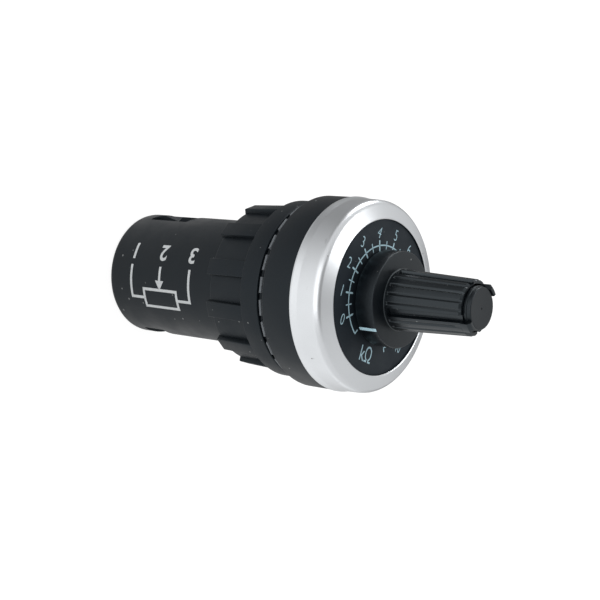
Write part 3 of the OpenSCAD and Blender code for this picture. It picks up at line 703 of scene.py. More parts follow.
def metal(name, colour, roughness, marks=2400, tarnish=0.6):
    """Worked metal with drawing marks and patches of tarnish."""
    finish = Finish(name, colour, roughness, metallic=1.0)
    patches = finish.noise(420, detail=4.0)
    finish.blend(finish.spread(patches, 0.45, 0.8, most=0.6), lighter(colour, tarnish))
    lines = finish.noise(marks, detail=2.0, place=finish.stretched(1, 1, 0.08))
    finish.rough(lines, least=roughness - 0.06, most=roughness + 0.14)
    finish.bump(lines, depth=0.002 * MM)
    finish.bump(patches, depth=0.002 * MM)
    return finish.material


def turned_metal(name, colour, roughness):
    """Metal with the fine rings that a lathe leaves."""
    finish = Finish(name, colour, roughness, metallic=1.0)
    rings = finish.rings(2200)
    finish.blend(finish.spread(rings, 0.2, 0.9, most=0.3), lighter(colour, 0.75))
    finish.rough(finish.noise(700), least=roughness - 0.05, most=roughness + 0.1)
    finish.bump(rings, depth=0.002 * MM)
    return finish.material


def plain_plastic(name, colour, roughness, specular=0.45):
    """Coloured plastic with flow clouds and a light grain."""
    finish = Finish(name, colour, roughness, specular=specular)
    clouds = finish.noise(350, detail=4.0)
    finish.blend(finish.spread(clouds, 0.4, 0.7, most=0.5), lighter(colour, 0.8))
    grain = finish.noise(3800, detail=2.0)
    finish.rough(clouds, least=roughness - 0.06, most=roughness + 0.08)
    finish.bump(grain, depth=0.006 * MM)
    return finish.material


def laminate(name, colour):
    """Brown paper laminate with fibres."""
    finish = Finish(name, colour, 0.5, specular=0.4)
    fibres = finish.noise(2400, detail=3.0, place=finish.stretched(1, 0.1, 1))
    finish.blend(finish.spread(fibres, 0.4, 0.7, most=0.7), lighter(colour, 0.55))
    finish.bump(fibres, depth=0.004 * MM)
    return finish.material


def floor_paint(name, white, glow):
    """White floor that keeps the object's shadow and reads white to the camera."""
    finish = Finish(name, (0.26, 0.26, 0.26), 0.9, specular=0.1)
    finish.blend(finish.spread(finish.noise(30), 0.4, 0.7, most=0.04), (0.24, 0.24, 0.24))
    path = finish.nodes.new("ShaderNodeLightPath")
    clear = finish.math("MAXIMUM", path.outputs["Is Camera Ray"], path.outputs["Is Transmission Ray"])
    seen = finish.math("MULTIPLY", clear, white)
    # Only glossy rays see the glow, which grows across the floor to one side of the object
    side = finish.nodes.new("ShaderNodeVectorMath")
    side.operation = "DOT_PRODUCT"
    side.inputs[1].default_value = (-3.93, -7.46, 0)
    finish.links.new(finish.place, side.inputs[0])
    grown = finish.spread(side.outputs["Value"], -0.48, 0.44, most=glow)
    mirrored = finish.math("MULTIPLY", path.outputs["Is Glossy Ray"], grown)
    finish.shader.inputs["Emission Color"].default_value = (1, 1, 1, 1)
    finish.links.new(finish.math("ADD", seen, mirrored), finish.shader.inputs["Emission Strength"])
    return finish.material


def make_finishes(colours):
    """Every finish by name."""
    black, silver, steel = colours.moulding, colours.silver, colours.steel
    knob, ink, brass = colours.knob, colours.ink, colours.brass
    return {
        "housing": black_moulding("satin_black_moulding", black),
        "nut": black_moulding("nut_moulding", lighter(black, 1.05), roughness=0.46),
        "lock": black_moulding("lock_ring_moulding", lighter(black, 0.8), 0.6, specular=0.25, dust=0.05),
        "teeth": black_moulding("lock_tooth_moulding", linear(104, 108, 112), 0.5, specular=0.4, dust=0.05),
        "block": black_moulding("terminal_block_moulding", lighter(black, 1.2), roughness=0.5),
        "rubber": black_moulding("gasket_rubber", linear(24, 24, 25), 0.7, specular=0.2, dust=0.1),
        "knob": handle_moulding("streaked_knob_moulding", knob),
        "cap": black_moulding("cap_moulding", lighter(knob, 1.1), 0.34, specular=0.44, dust=0.2),
        "bezel": silver_paint("satin_silver", silver),
        "dial": dial_lacquer("dial_lacquer", colours.dial),
        "ink": pad_ink("pale_pad_ink", ink),
        "pointer": pad_ink("pointer_paint", lighter(ink, 1.25)),
        "mark": pad_ink("white_pad_ink", linear(226, 230, 232)),
        "steel": metal("drawn_steel", steel, roughness=0.34),
        "shaft": turned_metal("turned_shaft", steel, roughness=0.28),
        "cast": metal("zinc_casting", lighter(steel, 0.8), roughness=0.48, marks=900, tarnish=0.75),
        "nickel": turned_metal("nickel_plate", linear(205, 203, 196), roughness=0.26),
        "silvering": metal("silvered_track", linear(214, 212, 204), roughness=0.4),
        "bronze": metal("spring_bronze", linear(206, 150, 84), roughness=0.3),
        "tinned": metal("tinned_lug", linear(208, 206, 196), roughness=0.38),
        "brass": metal("rolled_brass", brass, roughness=0.32, tarnish=0.7),
        "laminate": laminate("paper_laminate", linear(126, 78, 40)),
        "carbon": plain_plastic("carbon_film", linear(26, 26, 28), roughness=0.7, specular=0.2),
        "rotor": plain_plastic("rotor_plastic", linear(222, 218, 202), roughness=0.45),
        "red": plain_plastic("red_insulation", linear(178, 34, 34), roughness=0.38),
        "yellow": plain_plastic("yellow_insulation", linear(236, 196, 32), roughness=0.38),
        "blue": plain_plastic("blue_insulation", linear(44, 86, 176), roughness=0.38),
    }


FINISHES = {}
NODE_FINISHES = {
    "housing": "housing",
    "bezel": "bezel",
    "dial": "dial",
    "gasket": "rubber",
    "knob": "knob",
    "knob_cap": "cap",
    "pot_shaft": "shaft",
    "shaft_clip": "steel",
    "pot_bushing": "cast",
    "pot_washer": "nickel",
    "pot_nut": "nickel",
    "pot_wafer": "laminate",
    "carbon_track": "carbon",
    "collector_ring": "silvering",
    "rotor": "rotor",
    "wiper": "bronze",
    "pot_cover": "steel",
    "pot_lug_1": "tinned",
    "pot_lug_2": "tinned",
    "pot_lug_3": "tinned",
    "inner_lead_1": "red",
    "inner_lead_2": "yellow",
    "inner_lead_3": "blue",
    "terminal_block": "block",
    "terminal_plate_1": "brass",
    "terminal_plate_2": "brass",
    "terminal_plate_3": "brass",
    "clamp_washer_1": "nickel",
    "clamp_washer_2": "nickel",
    "clamp_washer_3": "nickel",
    "terminal_screw_1": "nickel",
    "terminal_screw_2": "nickel",
    "terminal_screw_3": "nickel",
    "ring_nut": "nut",
    "lock_ring": "lock",
}


class POT_OT_finishes(bpy.types.Operator):
    """Make every finish and give each piece of the frame its own"""

    bl_idname = "pot.finishes"
    bl_label = "Finish the frame"

    def execute(self, context):
        FINISHES.update(make_finishes(context.scene.pot_finishes))
        for name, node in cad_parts.items():
            node.data.materials.clear()
            node.data.materials.append(FINISHES[NODE_FINISHES[name]])
        return {"FINISHED"}


class POT_OT_bezel(bpy.types.Operator):
    """Turn the silver bezel with its flared foot, rolled rim, sloped band and thin lip"""

    bl_idname = "pot.bezel"
    bl_label = "Bezel"

    def execute(self, context):
        size = context.scene.pot_bezel
        foot = radius_of("bezel")
        rear, front = low_z("bezel"), top_z("bezel")
        bore = foot - size.wall
        ledge = radius_of("dial") + 0.05 * MM
        step_z = top_z("housing") - SEAT_HEIGHT
        lip_low = front - size.lip_edge
        lip_flare = 0.3 * MM
        soft = 0.1 * MM
        rim_r = foot - size.rim_step - size.rim_radius
        slope = size.band_slope
        band_r = rim_r + size.rim_radius * math.sin(slope)
        crown_r = size.lip_radius + 0.15 * MM
        rim_z = front - (band_r - crown_r) * math.tan(slope) - size.rim_radius * math.cos(slope)
        inside = eased([
            (size.lip_radius, front - 0.06 * MM, 0.05 * MM),
            (size.lip_radius, lip_low - 0.02 * MM, 0.03 * MM),
            (size.lip_radius + lip_flare, lip_low - 0.1 * MM, 0),
            (ledge, top_z("dial") + 0.02 * MM, 0),
            (ledge, step_z, 0),
            (bore, step_z, 0),
            (bore, rear, soft),
            (foot, rear, soft),
            (foot, rear + size.foot_height, 0.4 * MM),
            (foot - size.flare_width, rear + size.flare_height, 0.8 * MM),
            (foot - size.rim_step, rim_z, 0),
            (crown_r, front, 0),
        ])
        rim = arc(rim_r, rim_z, size.rim_radius, 0, math.pi / 2 - slope, steps=14)
        outline = inside[:-2] + rim + inside[-1:]
        piece = turned("bezel_ring", outline, steps=160)
        done(piece, FINISHES["bezel"], "housing", ["bezel"], smooth=24)
        return {"FINISHED"}


class POT_OT_housing(bpy.types.Operator):
    """Turn the housing, cut its windows and keyway, and wind the panel thread"""

    bl_idname = "pot.housing"
    bl_label = "Housing"

    def execute(self, context):
        size = context.scene.pot_housing
        nut = context.scene.pot_nut
        rear = low_z("housing")
        front = top_z("housing")
        core = nut.thread_radius - nut.thread_depth
        cavity = size.barrel_radius - size.barrel_wall
        thread_end = -12.5 * MM
        spigot, seat, pocket, hole = 12.9 * MM, 12.0 * MM, 9.5 * MM, 3.6 * MM
        wall_rear, wall_front = 3 * MM, 5 * MM
        step_z = front - SEAT_HEIGHT
        groove_in, groove_out, groove_z = 11.4 * MM, 12.9 * MM, 0.6 * MM
        ease = 0.12 * MM
        outline = eased([
            (cavity, rear, 0.15 * MM),
            (size.barrel_radius, rear, size.rear_ease),
            (size.barrel_radius, thread_end - 0.5 * MM, 0),
            (core, thread_end - 0.2 * MM, 0),
            (core, 0, 0),
            (groove_in, 0, 0),
            (groove_in, groove_z, 0),
            (groove_out, groove_z, 0),
            (groove_out, 0, 0),
            (size.head_radius, 0, 0.3 * MM),
            (size.head_radius, size.head_height, ease),
            (spigot, size.head_height, 0),
            (spigot, step_z, ease),
            (seat, step_z, 0),
            (seat, front, ease),
            (pocket, front, ease),
            (pocket, wall_front, 0),
            (hole, wall_front, 0),
            (hole, wall_rear, 0),
            (cavity, wall_rear, 0),
        ])
        shell = turned("housing_shell", outline, steps=144)
        half = size.window_width / 2
        low = rear + size.window_rear
        inner, outer = cavity - MM, size.barrel_radius + MM
        for name, height, turn in (
            ("long_window", size.long_window, size.window_angle),
            ("short_window", size.short_window, size.window_angle + math.pi),
        ):
            window = block(name, (inner, -half, low), (outer, half, low + height), ease=0.25 * MM)
            cut(shell, turn_to(window, turn))
        half = size.keyway_width / 2
        floor = nut.thread_radius - size.keyway_depth
        low_corner = (floor, -half, thread_end - MM)
        high_corner = (floor + 2 * MM, half, -0.02 * MM)
        keyway = turn_to(block("keyway", low_corner, high_corner, ease=0.15 * MM), size.keyway_angle)
        slot = copied(keyway, "thread_keyway", 0)
        cut(shell, keyway)
        done(shell, FINISHES["housing"], "housing", ["housing"])
        thread = self.thread(nut, core, thread_end)
        cut(thread, slot)
        done(thread, FINISHES["housing"], "housing")
        return {"FINISHED"}

    def thread(self, nut, core, end):
        """Wind the ridge of the panel thread on its core."""
        root = core - 0.06 * MM
        half = nut.pitch * 0.46
        flat = nut.pitch * 0.07
        gap = 0.35 * MM
        start = -gap - half
        turns = int((start - end - half) / nut.pitch)
        ridge = [
            Vector((root, 0, start - half)),
            Vector((nut.thread_radius, 0, start - flat)),
            Vector((nut.thread_radius, 0, start + flat)),
            Vector((root, 0, start + half)),
        ]
        piece = draw("panel_thread", ridge)
        bpy.ops.mesh.select_all(action="SELECT")
        bpy.ops.mesh.edge_face_add()
        bpy.ops.object.mode_set(mode="OBJECT")
        wind = piece.modifiers.new("wind", "SCREW")
        wind.axis = "Z"
        wind.angle = FULL_TURN
        wind.iterations = turns
        wind.screw_offset = -nut.pitch
        wind.steps = 72
        wind.render_steps = 72
        wind.use_smooth_shade = False
        pick(piece)
        bpy.ops.object.modifier_apply(modifier=wind.name)
        bpy.ops.object.mode_set(mode="EDIT")
        close_up()
        return piece


class POT_OT_nut(bpy.types.Operator):
    """Turn the ring nut and set its grip lugs round the hub"""

    bl_idname = "pot.nut"
    bl_label = "Ring nut"

    def execute(self, context):
        size = context.scene.pot_nut
        front = top_z("ring_nut")
        rear = low_z("ring_nut")
        flange_front = front - 0.38 * MM
        flange_rear = flange_front - size.flange_height
        land = size.flange_radius - 1.2 * MM
        bevel = 0.3 * MM
        hub_rear = rear + size.lug_overhang
        bore = size.thread_radius + 0.04 * MM
        lead_in = 0.4 * MM
        step = 0.2 * MM
        outline = eased([
            (bore, front, 0.1 * MM),
            (land, front, 0.05 * MM),
            (land, flange_front, 0),
            (size.flange_radius, flange_front, 0.18 * MM),
            (size.flange_radius, flange_rear + bevel, 0.12 * MM),
            (size.flange_radius - bevel, flange_rear, 0.12 * MM),
            (size.hub_radius + step, flange_rear, 0.08 * MM),
            (size.hub_radius + step, flange_rear - MM, 0.06 * MM),
            (size.hub_radius, flange_rear - MM - step, 0.1 * MM),
            (size.hub_radius, hub_rear, 0.25 * MM),
            (bore + lead_in, hub_rear, 0.05 * MM),
            (bore, hub_rear + lead_in, 0.05 * MM),
        ], steps=3)
        nut = turned("ring_nut_body", outline, steps=144)
        first = self.lug(size, rear, flange_rear)
        turns = [FULL_TURN * index / size.lugs for index in range(1, size.lugs)]
        lugs = joined("grip_lugs", [first] + [copied(first, "lug_copy", turn) for turn in turns])
        turn_to(lugs, size.lug_angle)
        done(self.boss(size), FINISHES["nut"], "ring_nut")
        done(nut, FINISHES["nut"], "ring_nut", ["ring_nut"])
        done(lugs, FINISHES["nut"], "ring_nut")
        return {"FINISHED"}

    def lug(self, size, rear, flange_rear):
        """One grip lug with a rounded rear corner."""
        half = size.lug_width / 2
        sunk = 0.45 * MM
        corner = 0.2 * MM
        high = size.hub_radius + size.lug_height
        low = size.hub_radius - sunk
        piece = block("lug", (low, -half, rear), (high, half, flange_rear + 0.3 * MM), ease=0.13 * MM)
        bpy.ops.object.mode_set(mode="EDIT")
        choose(piece, "verts", lambda v: v.co.x > high - corner and v.co.z < rear + corner)
        bpy.ops.transform.translate(value=(-0.28 * MM, 0, 0.04 * MM))
        bpy.ops.object.mode_set(mode="OBJECT")
        return piece

    def boss(self, size):
        """The small rounded boss between two lugs."""
        sunk, half, half_height = 0.4 * MM, 0.42 * MM, 0.6 * MM
        low_corner = (size.hub_radius - sunk, -half, size.boss_height - half_height)
        high_corner = (size.hub_radius + sunk, half, size.boss_height + half_height)
        return turn_to(block("boss", low_corner, high_corner, ease=0.3 * MM), size.boss_angle)


class POT_OT_lock(bpy.types.Operator):
    """Turn the lock ring, set its key in the keyway and its thin teeth round the edge"""

    bl_idname = "pot.lock"
    bl_label = "Lock ring"

    def execute(self, context):
        size = context.scene.pot_lock
        low, high = low_z("lock_ring"), top_z("lock_ring")
        edge = radius_of("lock_ring")
        rim = edge - size.tooth_height
        bore = size.bore_radius
        outline = eased([
            (bore, low, 0.05 * MM),
            (rim, low, 0.08 * MM),
            (rim, high, 0.08 * MM),
            (bore, high, 0.05 * MM),
        ])
        ring = turned("lock_ring_body", outline, steps=128)
        # The key reaches inwards from the bore, into the keyway
        half, reach, sunk = 1.35 * MM, 0.7 * MM, 0.5 * MM
        key = block("key", (bore - reach, -half, low), (bore + sunk, half, high), ease=0.06 * MM)
        turn_to(key, context.scene.pot_housing.keyway_angle)
        middle = (low + high) / 2
        half, sunk = size.tooth_width / 2, 0.3 * MM
        thick = size.tooth_thickness / 2
        low_corner = (rim - sunk, -half, middle - thick)
        tooth = block("tooth", low_corner, (edge, half, middle + thick), ease=0.07 * MM)
        turns = [FULL_TURN * index / size.teeth for index in range(1, size.teeth)]
        teeth = joined("lock_ring_teeth", [tooth] + [copied(tooth, "tooth_copy", turn) for turn in turns])
        done(ring, FINISHES["lock"], "lock_ring", ["lock_ring"])
        done(key, FINISHES["lock"], "lock_ring")
        done(teeth, FINISHES["teeth"], "lock_ring")
        return {"FINISHED"}


class POT_OT_knob(bpy.types.Operator):
    """Shape the knob: a turned skirt, a fluted handle drawn up from it, its jaws and the pointer"""

    bl_idname = "pot.knob"
    bl_label = "Knob"

    def execute(self, context):
        size = context.scene.pot_knob
        skirt = self.skirt(size)
        handle = self.handle(size)
        jaws = self.jaws(size)
        for piece in (skirt, handle, jaws):
            turn_to(piece, size.pointer_angle)
        done(skirt, FINISHES["cap"], "knob", ["knob"])
        done(handle, FINISHES["knob"], "knob")
        done(jaws, FINISHES["knob"], "knob")
        done(self.pointer(size), FINISHES["pointer"], "knob")
        return {"FINISHED"}

    def skirt(self, size):
        """Hollow skirt with a hub for the shaft."""
        low = low_z("knob")
        high = low + size.skirt_height
        wall = MM
        bore = KNOB_BORE
        hub = bore + wall
        neck = size.base_radius - 0.3 * MM
        rise = 0.1 * MM
        outline = eased([
            (bore, low, 0.05 * MM),
            (hub, low, 0.1 * MM),
            (hub, high - wall, 0.15 * MM),
            (size.skirt_radius - wall, high - wall, 0.15 * MM),
            (size.skirt_radius - wall, low, 0.1 * MM),
            (size.skirt_radius, low, 0.06 * MM),
            (size.skirt_radius, high, size.skirt_ease),
            (neck, high, 0),
            (neck, high + rise, 0),
            (bore, high + rise, 0),
        ])
        return turned("knob_skirt", outline, steps=144)

    def handle(self, size):
        """Draw the handle up from a circle and press its flutes in."""
        points_per_flute = 20
        points = size.flutes * points_per_flute
        base_z = low_z("knob") + size.skirt_height
        end = base_z + size.handle_length - size.end_chamfer
        foot_z = base_z - 0.05 * MM
        fillet, fillet_steps = 0.14 * MM, 4
        run_in = 0.12 * MM
        recess, recess_depth, bore = 3.4 * MM, 1.6 * MM, 2.62 * MM
        bore_floor = 3.4 * MM
        deselect()
        bpy.ops.mesh.primitive_circle_add(vertices=points, radius=KNOB_BORE, location=(0, 0, foot_z))
        piece = named("knob_handle")
        bpy.ops.object.transform_apply(location=True, rotation=True, scale=True)
        bpy.ops.object.mode_set(mode="EDIT")
        bpy.ops.mesh.select_all(action="SELECT")
        rings = [(size.base_radius + fillet, foot_z), (size.base_radius + fillet, base_z)]
        for step in range(1, fillet_steps + 1):
            turn = math.pi / 2 * step / fillet_steps
            rings.append((
                size.base_radius + fillet * (1 - math.sin(turn)),
                base_z + fillet * (1 - math.cos(turn)),
            ))
        rings.append((size.base_radius, base_z + size.foot))
        radius, height = KNOB_BORE, foot_z
        for new_radius, new_height in rings:
            self.ring(new_radius / radius, new_height - height)
            radius, height = new_radius, new_height
        self.ring(1.0, run_in)
        height += run_in
        self.press(piece, size, height)
        choose(piece, "verts", lambda v: abs(v.co.z - height) < MERGE)
        self.ring(size.tip_radius / size.base_radius, end - height)
        self.ring(1.0, size.end_chamfer)
        self.trim(piece, 0, size.tip_radius - size.end_chamfer)
        self.ring(1.0, 0)
        self.trim(piece, recess, recess)
        self.ring(1.0, -recess_depth)
        self.ring(bore / recess, 0)
        self.ring(1.0, bore_floor + recess_depth - size.handle_length)
        close_up()
        return piece

    def ring(self, factor, rise):
        """Draw the chosen ring to a new one, scaled about the axis."""
        bpy.ops.mesh.extrude_region_move(TRANSFORM_OT_translate={"value": (0, 0, rise)})
        bpy.ops.transform.resize(value=(factor, factor, 1), center_override=(0, 0, 0))

    def press(self, piece, size, height):
        """Press the flutes and the deep slots into the ring at a height, one depth after another."""
        radius = size.base_radius
        pitch = FULL_TURN / size.flutes
        flutes_per_slot = size.flutes // size.slots
        half_flute, half_slot, slot_side = math.radians(3.7), math.radians(8.2), math.radians(1.0)
        same_depth = 0.0006

        def depth(vertex):
            """Depth in millimetres that is pressed in at a vertex."""
            turn = math.atan2(vertex.co.y, vertex.co.x) - size.slot_angle
            index = round(turn / pitch)
            offset = abs(turn - index * pitch)
            if index % flutes_per_slot == 0:
                return size.slot_depth * min(1.0, max(0.0, (half_slot - offset) / slot_side)) / MM
            return size.flute_depth * max(0.0, 1 - offset / half_flute) / MM

        mesh = bmesh.from_edit_mesh(piece.data)
        depths = {round(depth(v), 3) for v in mesh.verts if abs(v.co.z - height) < MERGE}
        for level in sorted(depths - {0}):
            choose(
                piece,
                "verts",
                lambda v: abs(v.co.z - height) < MERGE
                and abs(v.co.xy.length - radius) < MERGE
                and abs(depth(v) - level) < same_depth,
            )
            factor = 1 - level * MM / radius
            bpy.ops.transform.resize(value=(factor, factor, 1), center_override=(0, 0, 0))

    def trim(self, piece, least, most):
        """Hold the chosen ring between two radii."""
        mesh = bmesh.from_edit_mesh(piece.data)
        for vertex in (v for v in mesh.verts if v.select):
            reach = vertex.co.xy.length
            factor = min(max(reach, least), most) / reach
            vertex.co.x *= factor
            vertex.co.y *= factor
        bmesh.update_edit_mesh(piece.data)

    def jaws(self, size):
        """Jaws with chamfered tips beyond the handle's end."""
        sunk = 1.2 * MM
        root = low_z("knob") + size.skirt_height + size.handle_length - sunk
        tip = top_z("knob")
        outer = size.tip_radius - 0.03 * MM
        inner = outer - size.jaw_wall
        outline = eased([
            (inner, root, 0),
            (outer, root, 0),
            (outer, tip - 0.42 * MM, 0.1 * MM),
            (outer - 0.36 * MM, tip, 0.08 * MM),
            (inner, tip, 0.06 * MM),
        ], steps=2)
        first = size.slot_angle + size.jaw_angle - size.jaw_span / 2
        jaw = swept("jaw", outline, first, size.jaw_span, steps=10)
        turns = [FULL_TURN * index / size.jaws for index in range(1, size.jaws)]
        return joined("knob_jaws", [jaw] + [copied(jaw, "jaw_copy", turn) for turn in turns])

    def pointer(self, size):
        """Raised pale bar down the skirt's side, with rounded ends."""
        low = low_z("knob") + 0.02 * MM
        high = low_z("knob") + size.skirt_height - 0.08 * MM
        half = size.pointer_width / 2
        root = size.skirt_radius - 0.3 * MM
        reach = size.skirt_radius + size.pointer_rise
        bar = block("pointer", (root, -half, low), (reach, half, high), ease=0.08 * MM, steps=4)
        bpy.ops.object.mode_set(mode="EDIT")
        for end in (low, high):
            choose(bar, "verts", lambda v: abs(v.co.z - end) < 0.1 * MM)
            bpy.ops.transform.resize(value=(1, 0.8, 1), center_override=(0, 0, end))
        bpy.ops.object.mode_set(mode="OBJECT")
        return turn_to(bar, size.pointer_angle)


class POT_OT_cap(bpy.types.Operator):
    """Turn the button that closes the end of the handle"""

    bl_idname = "pot.cap"
    bl_label = "End cap"

    def execute(self, context):
        low, high = low_z("knob_cap"), top_z("knob_cap")
        body = radius_of("knob_cap")
        collar_z = high - 0.62 * MM
        seat = high - 2.2 * MM
        plug = 2.58 * MM
        pip, pip_floor = 0.12 * MM, high - 0.16 * MM
        outline = eased([
            (0, low, 0),
            (plug, low, 0.15 * MM),
            (plug, seat, 0),
            (body, seat, 0.05 * MM),
            (body, collar_z, 0.1 * MM),
            (body - 0.13 * MM, collar_z + 0.03 * MM, 0.03 * MM),
            (body - 0.16 * MM, high, 0.16 * MM),
            (body - 0.55 * MM, high - 0.02 * MM, 0),
            (pip + 0.04 * MM, high - 0.05 * MM, 0),
            (pip, pip_floor, 0),
            (0, pip_floor, 0),
        ])
        piece = turned("end_cap", outline, closed=False, steps=128)
        done(piece, FINISHES["cap"], "knob", ["knob_cap"], smooth=24)
        return {"FINISHED"}


class POT_OT_screws(bpy.types.Operator):
    """Turn one domed terminal screw, cut its slot and set three of them"""

    bl_idname = "pot.screws"
    bl_label = "Terminal screws"

    def execute(self, context):
        low, high = BOX["terminal_screw_1"]
        head = (high.x - low.x) / 2
        head_top = low.z + 1.8 * MM
        stem, point = 1.5 * MM, 0.3 * MM
        outline = eased([
            (0, low.z + 0.02 * MM, 0),
            (head * 0.6, low.z + 0.05 * MM, 0.5 * MM),
            (head, low.z + 0.4 * MM, 0.25 * MM),
            (head, head_top, 0.08 * MM),
            (stem, head_top, 0),
            (stem, high.z - point, 0),
            (stem - point, high.z, 0),
            (0, high.z, 0),
        ])
        screw = turned("terminal_screw", outline, closed=False, steps=64)
        reach, half, depth = 3.5 * MM, 0.4 * MM, 0.9 * MM
        slot = block("slot", (-reach, -half, low.z - MM), (reach, half, low.z + depth), ease=0.04 * MM)
        cut(screw, slot)
        for index in (1, 2, 3):
            node = f"terminal_screw_{index}"
            low, high = BOX[node]
            middle = (low + high) / 2
            turn = math.atan2(middle.y, middle.x) + math.radians(30 + 25 * index)
            copy = moved(copied(screw, f"clamp_screw_{index}", turn), (middle.x, middle.y, 0))
            done(copy, FINISHES["nickel"], "housing", [node])
        bpy.data.objects.remove(screw)
        return {"FINISHED"}


def lettering(name, text, height, width_share, weight=0.0):
    """Printed characters as a thin mesh, centred on the origin and facing up."""
    deselect()
    bpy.ops.object.text_add(location=(0, 0, 0))
    piece = bpy.context.object
    piece.name = name
    piece.data.body = text
    piece.data.align_x = "CENTER"
    piece.data.align_y = "CENTER"
    piece.data.resolution_u = 5
    piece.data.offset = weight
    bpy.ops.object.convert(target="MESH")
    piece = bpy.context.object
    xs = [v.co.x for v in piece.data.vertices]
    ys = [v.co.y for v in piece.data.vertices]
    scale = height / (max(ys) - min(ys))
    middle = Vector(((max(xs) + min(xs)) / 2, (max(ys) + min(ys)) / 2, 0))
    piece.data.transform(Matrix.Translation(-middle))
    piece.scale = (scale * width_share, scale, scale)
    bpy.ops.object.transform_apply(location=True, rotation=True, scale=True)
    return piece


def raise_ink(piece, thickness):
    """Give flat print the thickness of its ink."""
    pick(piece)
    bpy.ops.object.mode_set(mode="EDIT")
    bpy.ops.mesh.select_all(action="SELECT")
    bpy.ops.mesh.remove_doubles(threshold=MERGE / 2)
    bpy.ops.mesh.extrude_region_move(TRANSFORM_OT_translate={"value": (0, 0, thickness)})
    bpy.ops.mesh.select_all(action="SELECT")
    bpy.ops.mesh.normals_make_consistent(inside=False)
    bpy.ops.object.mode_set(mode="OBJECT")
    return piece


class POT_OT_scale(bpy.types.Operator):
    """Print the arc, its ticks, the numbers 0 to 10 and the unit sign on the dial"""

    bl_idname = "pot.scale"
    bl_label = "Dial scale"

    def execute(self, context):
        size = context.scene.pot_print
        low = top_z("dial") - 0.004 * MM
        high = low + size.ink
        half = size.arc_width / 2
        line = [
            Vector((size.arc_radius - half, 0, low)),
            Vector((size.arc_radius + half, 0, low)),
            Vector((size.arc_radius + half, 0, high)),
            Vector((size.arc_radius - half, 0, high)),
        ]
        # Inner end, outer end and width of each kind of tick
        long_tick = (6.75 * MM, 8.42 * MM, 0.27 * MM)
        short_tick = (6.9 * MM, 8.28 * MM, 0.17 * MM)
        low_end_tick = (6.8 * MM, 7.7 * MM, 0.22 * MM)
        high_end_tick = (7.5 * MM, 8.3 * MM, 0.22 * MM)
        low_end = size.top_angle + size.half_arc
        high_end = size.top_angle - size.half_arc
        pieces = [swept("scale_arc", line, high_end, 2 * size.half_arc, steps=120)]
        for half_unit in range(2 * NUMBERS - 1):
            turn = size.top_angle + size.unit_angle * (MIDDLE_NUMBER - half_unit / 2)
            pieces.append(self.tick(low, high, short_tick if half_unit % 2 else long_tick, turn))
        pieces.append(self.tick(low, high, low_end_tick, low_end))
        pieces.append(self.tick(low, high, high_end_tick, high_end))
        for number in range(NUMBERS):
            turn = size.top_angle + size.unit_angle * (MIDDLE_NUMBER - number)
            spot = Vector((math.cos(turn), math.sin(turn), 0)) * size.number_radius
            spot += Vector((0, size.number_lift, low))
            width = 0.78 if number < 10 else 0.6
            piece = lettering(f"number_{number}", str(number), size.number_height, width, weight=-0.012)
            pieces.append(moved(raise_ink(piece, size.ink), spot))
        unit = lettering("unit_sign", "kΩ", size.unit_height, width_share=0.75)
        pieces.append(moved(raise_ink(unit, size.ink), (0, -size.unit_radius, low)))
        scale = joined("dial_scale", pieces)
        done(scale, FINISHES["ink"], "housing")
        return {"FINISHED"}

    def tick(self, low, high, sizes, turn):
        """One tick with rounded ends, from an inner to an outer radius."""
        inner, outer, width = sizes
        deselect()
        bpy.ops.mesh.primitive_cube_add(size=1, location=((inner + outer) / 2, 0, (low + high) / 2))
        piece = named("tick")
        piece.scale = (outer - inner, width, high - low)
        bpy.ops.object.transform_apply(location=True, rotation=True, scale=True)
        bpy.ops.object.mode_set(mode="EDIT")
        choose(piece, "edges", lambda e: abs(e.verts[0].co.z - e.verts[1].co.z) > (high - low) / 2)
        bpy.ops.mesh.bevel(offset=width * 0.45, segments=3, profile=0.5)
        close_up()
        return turn_to(piece, turn)


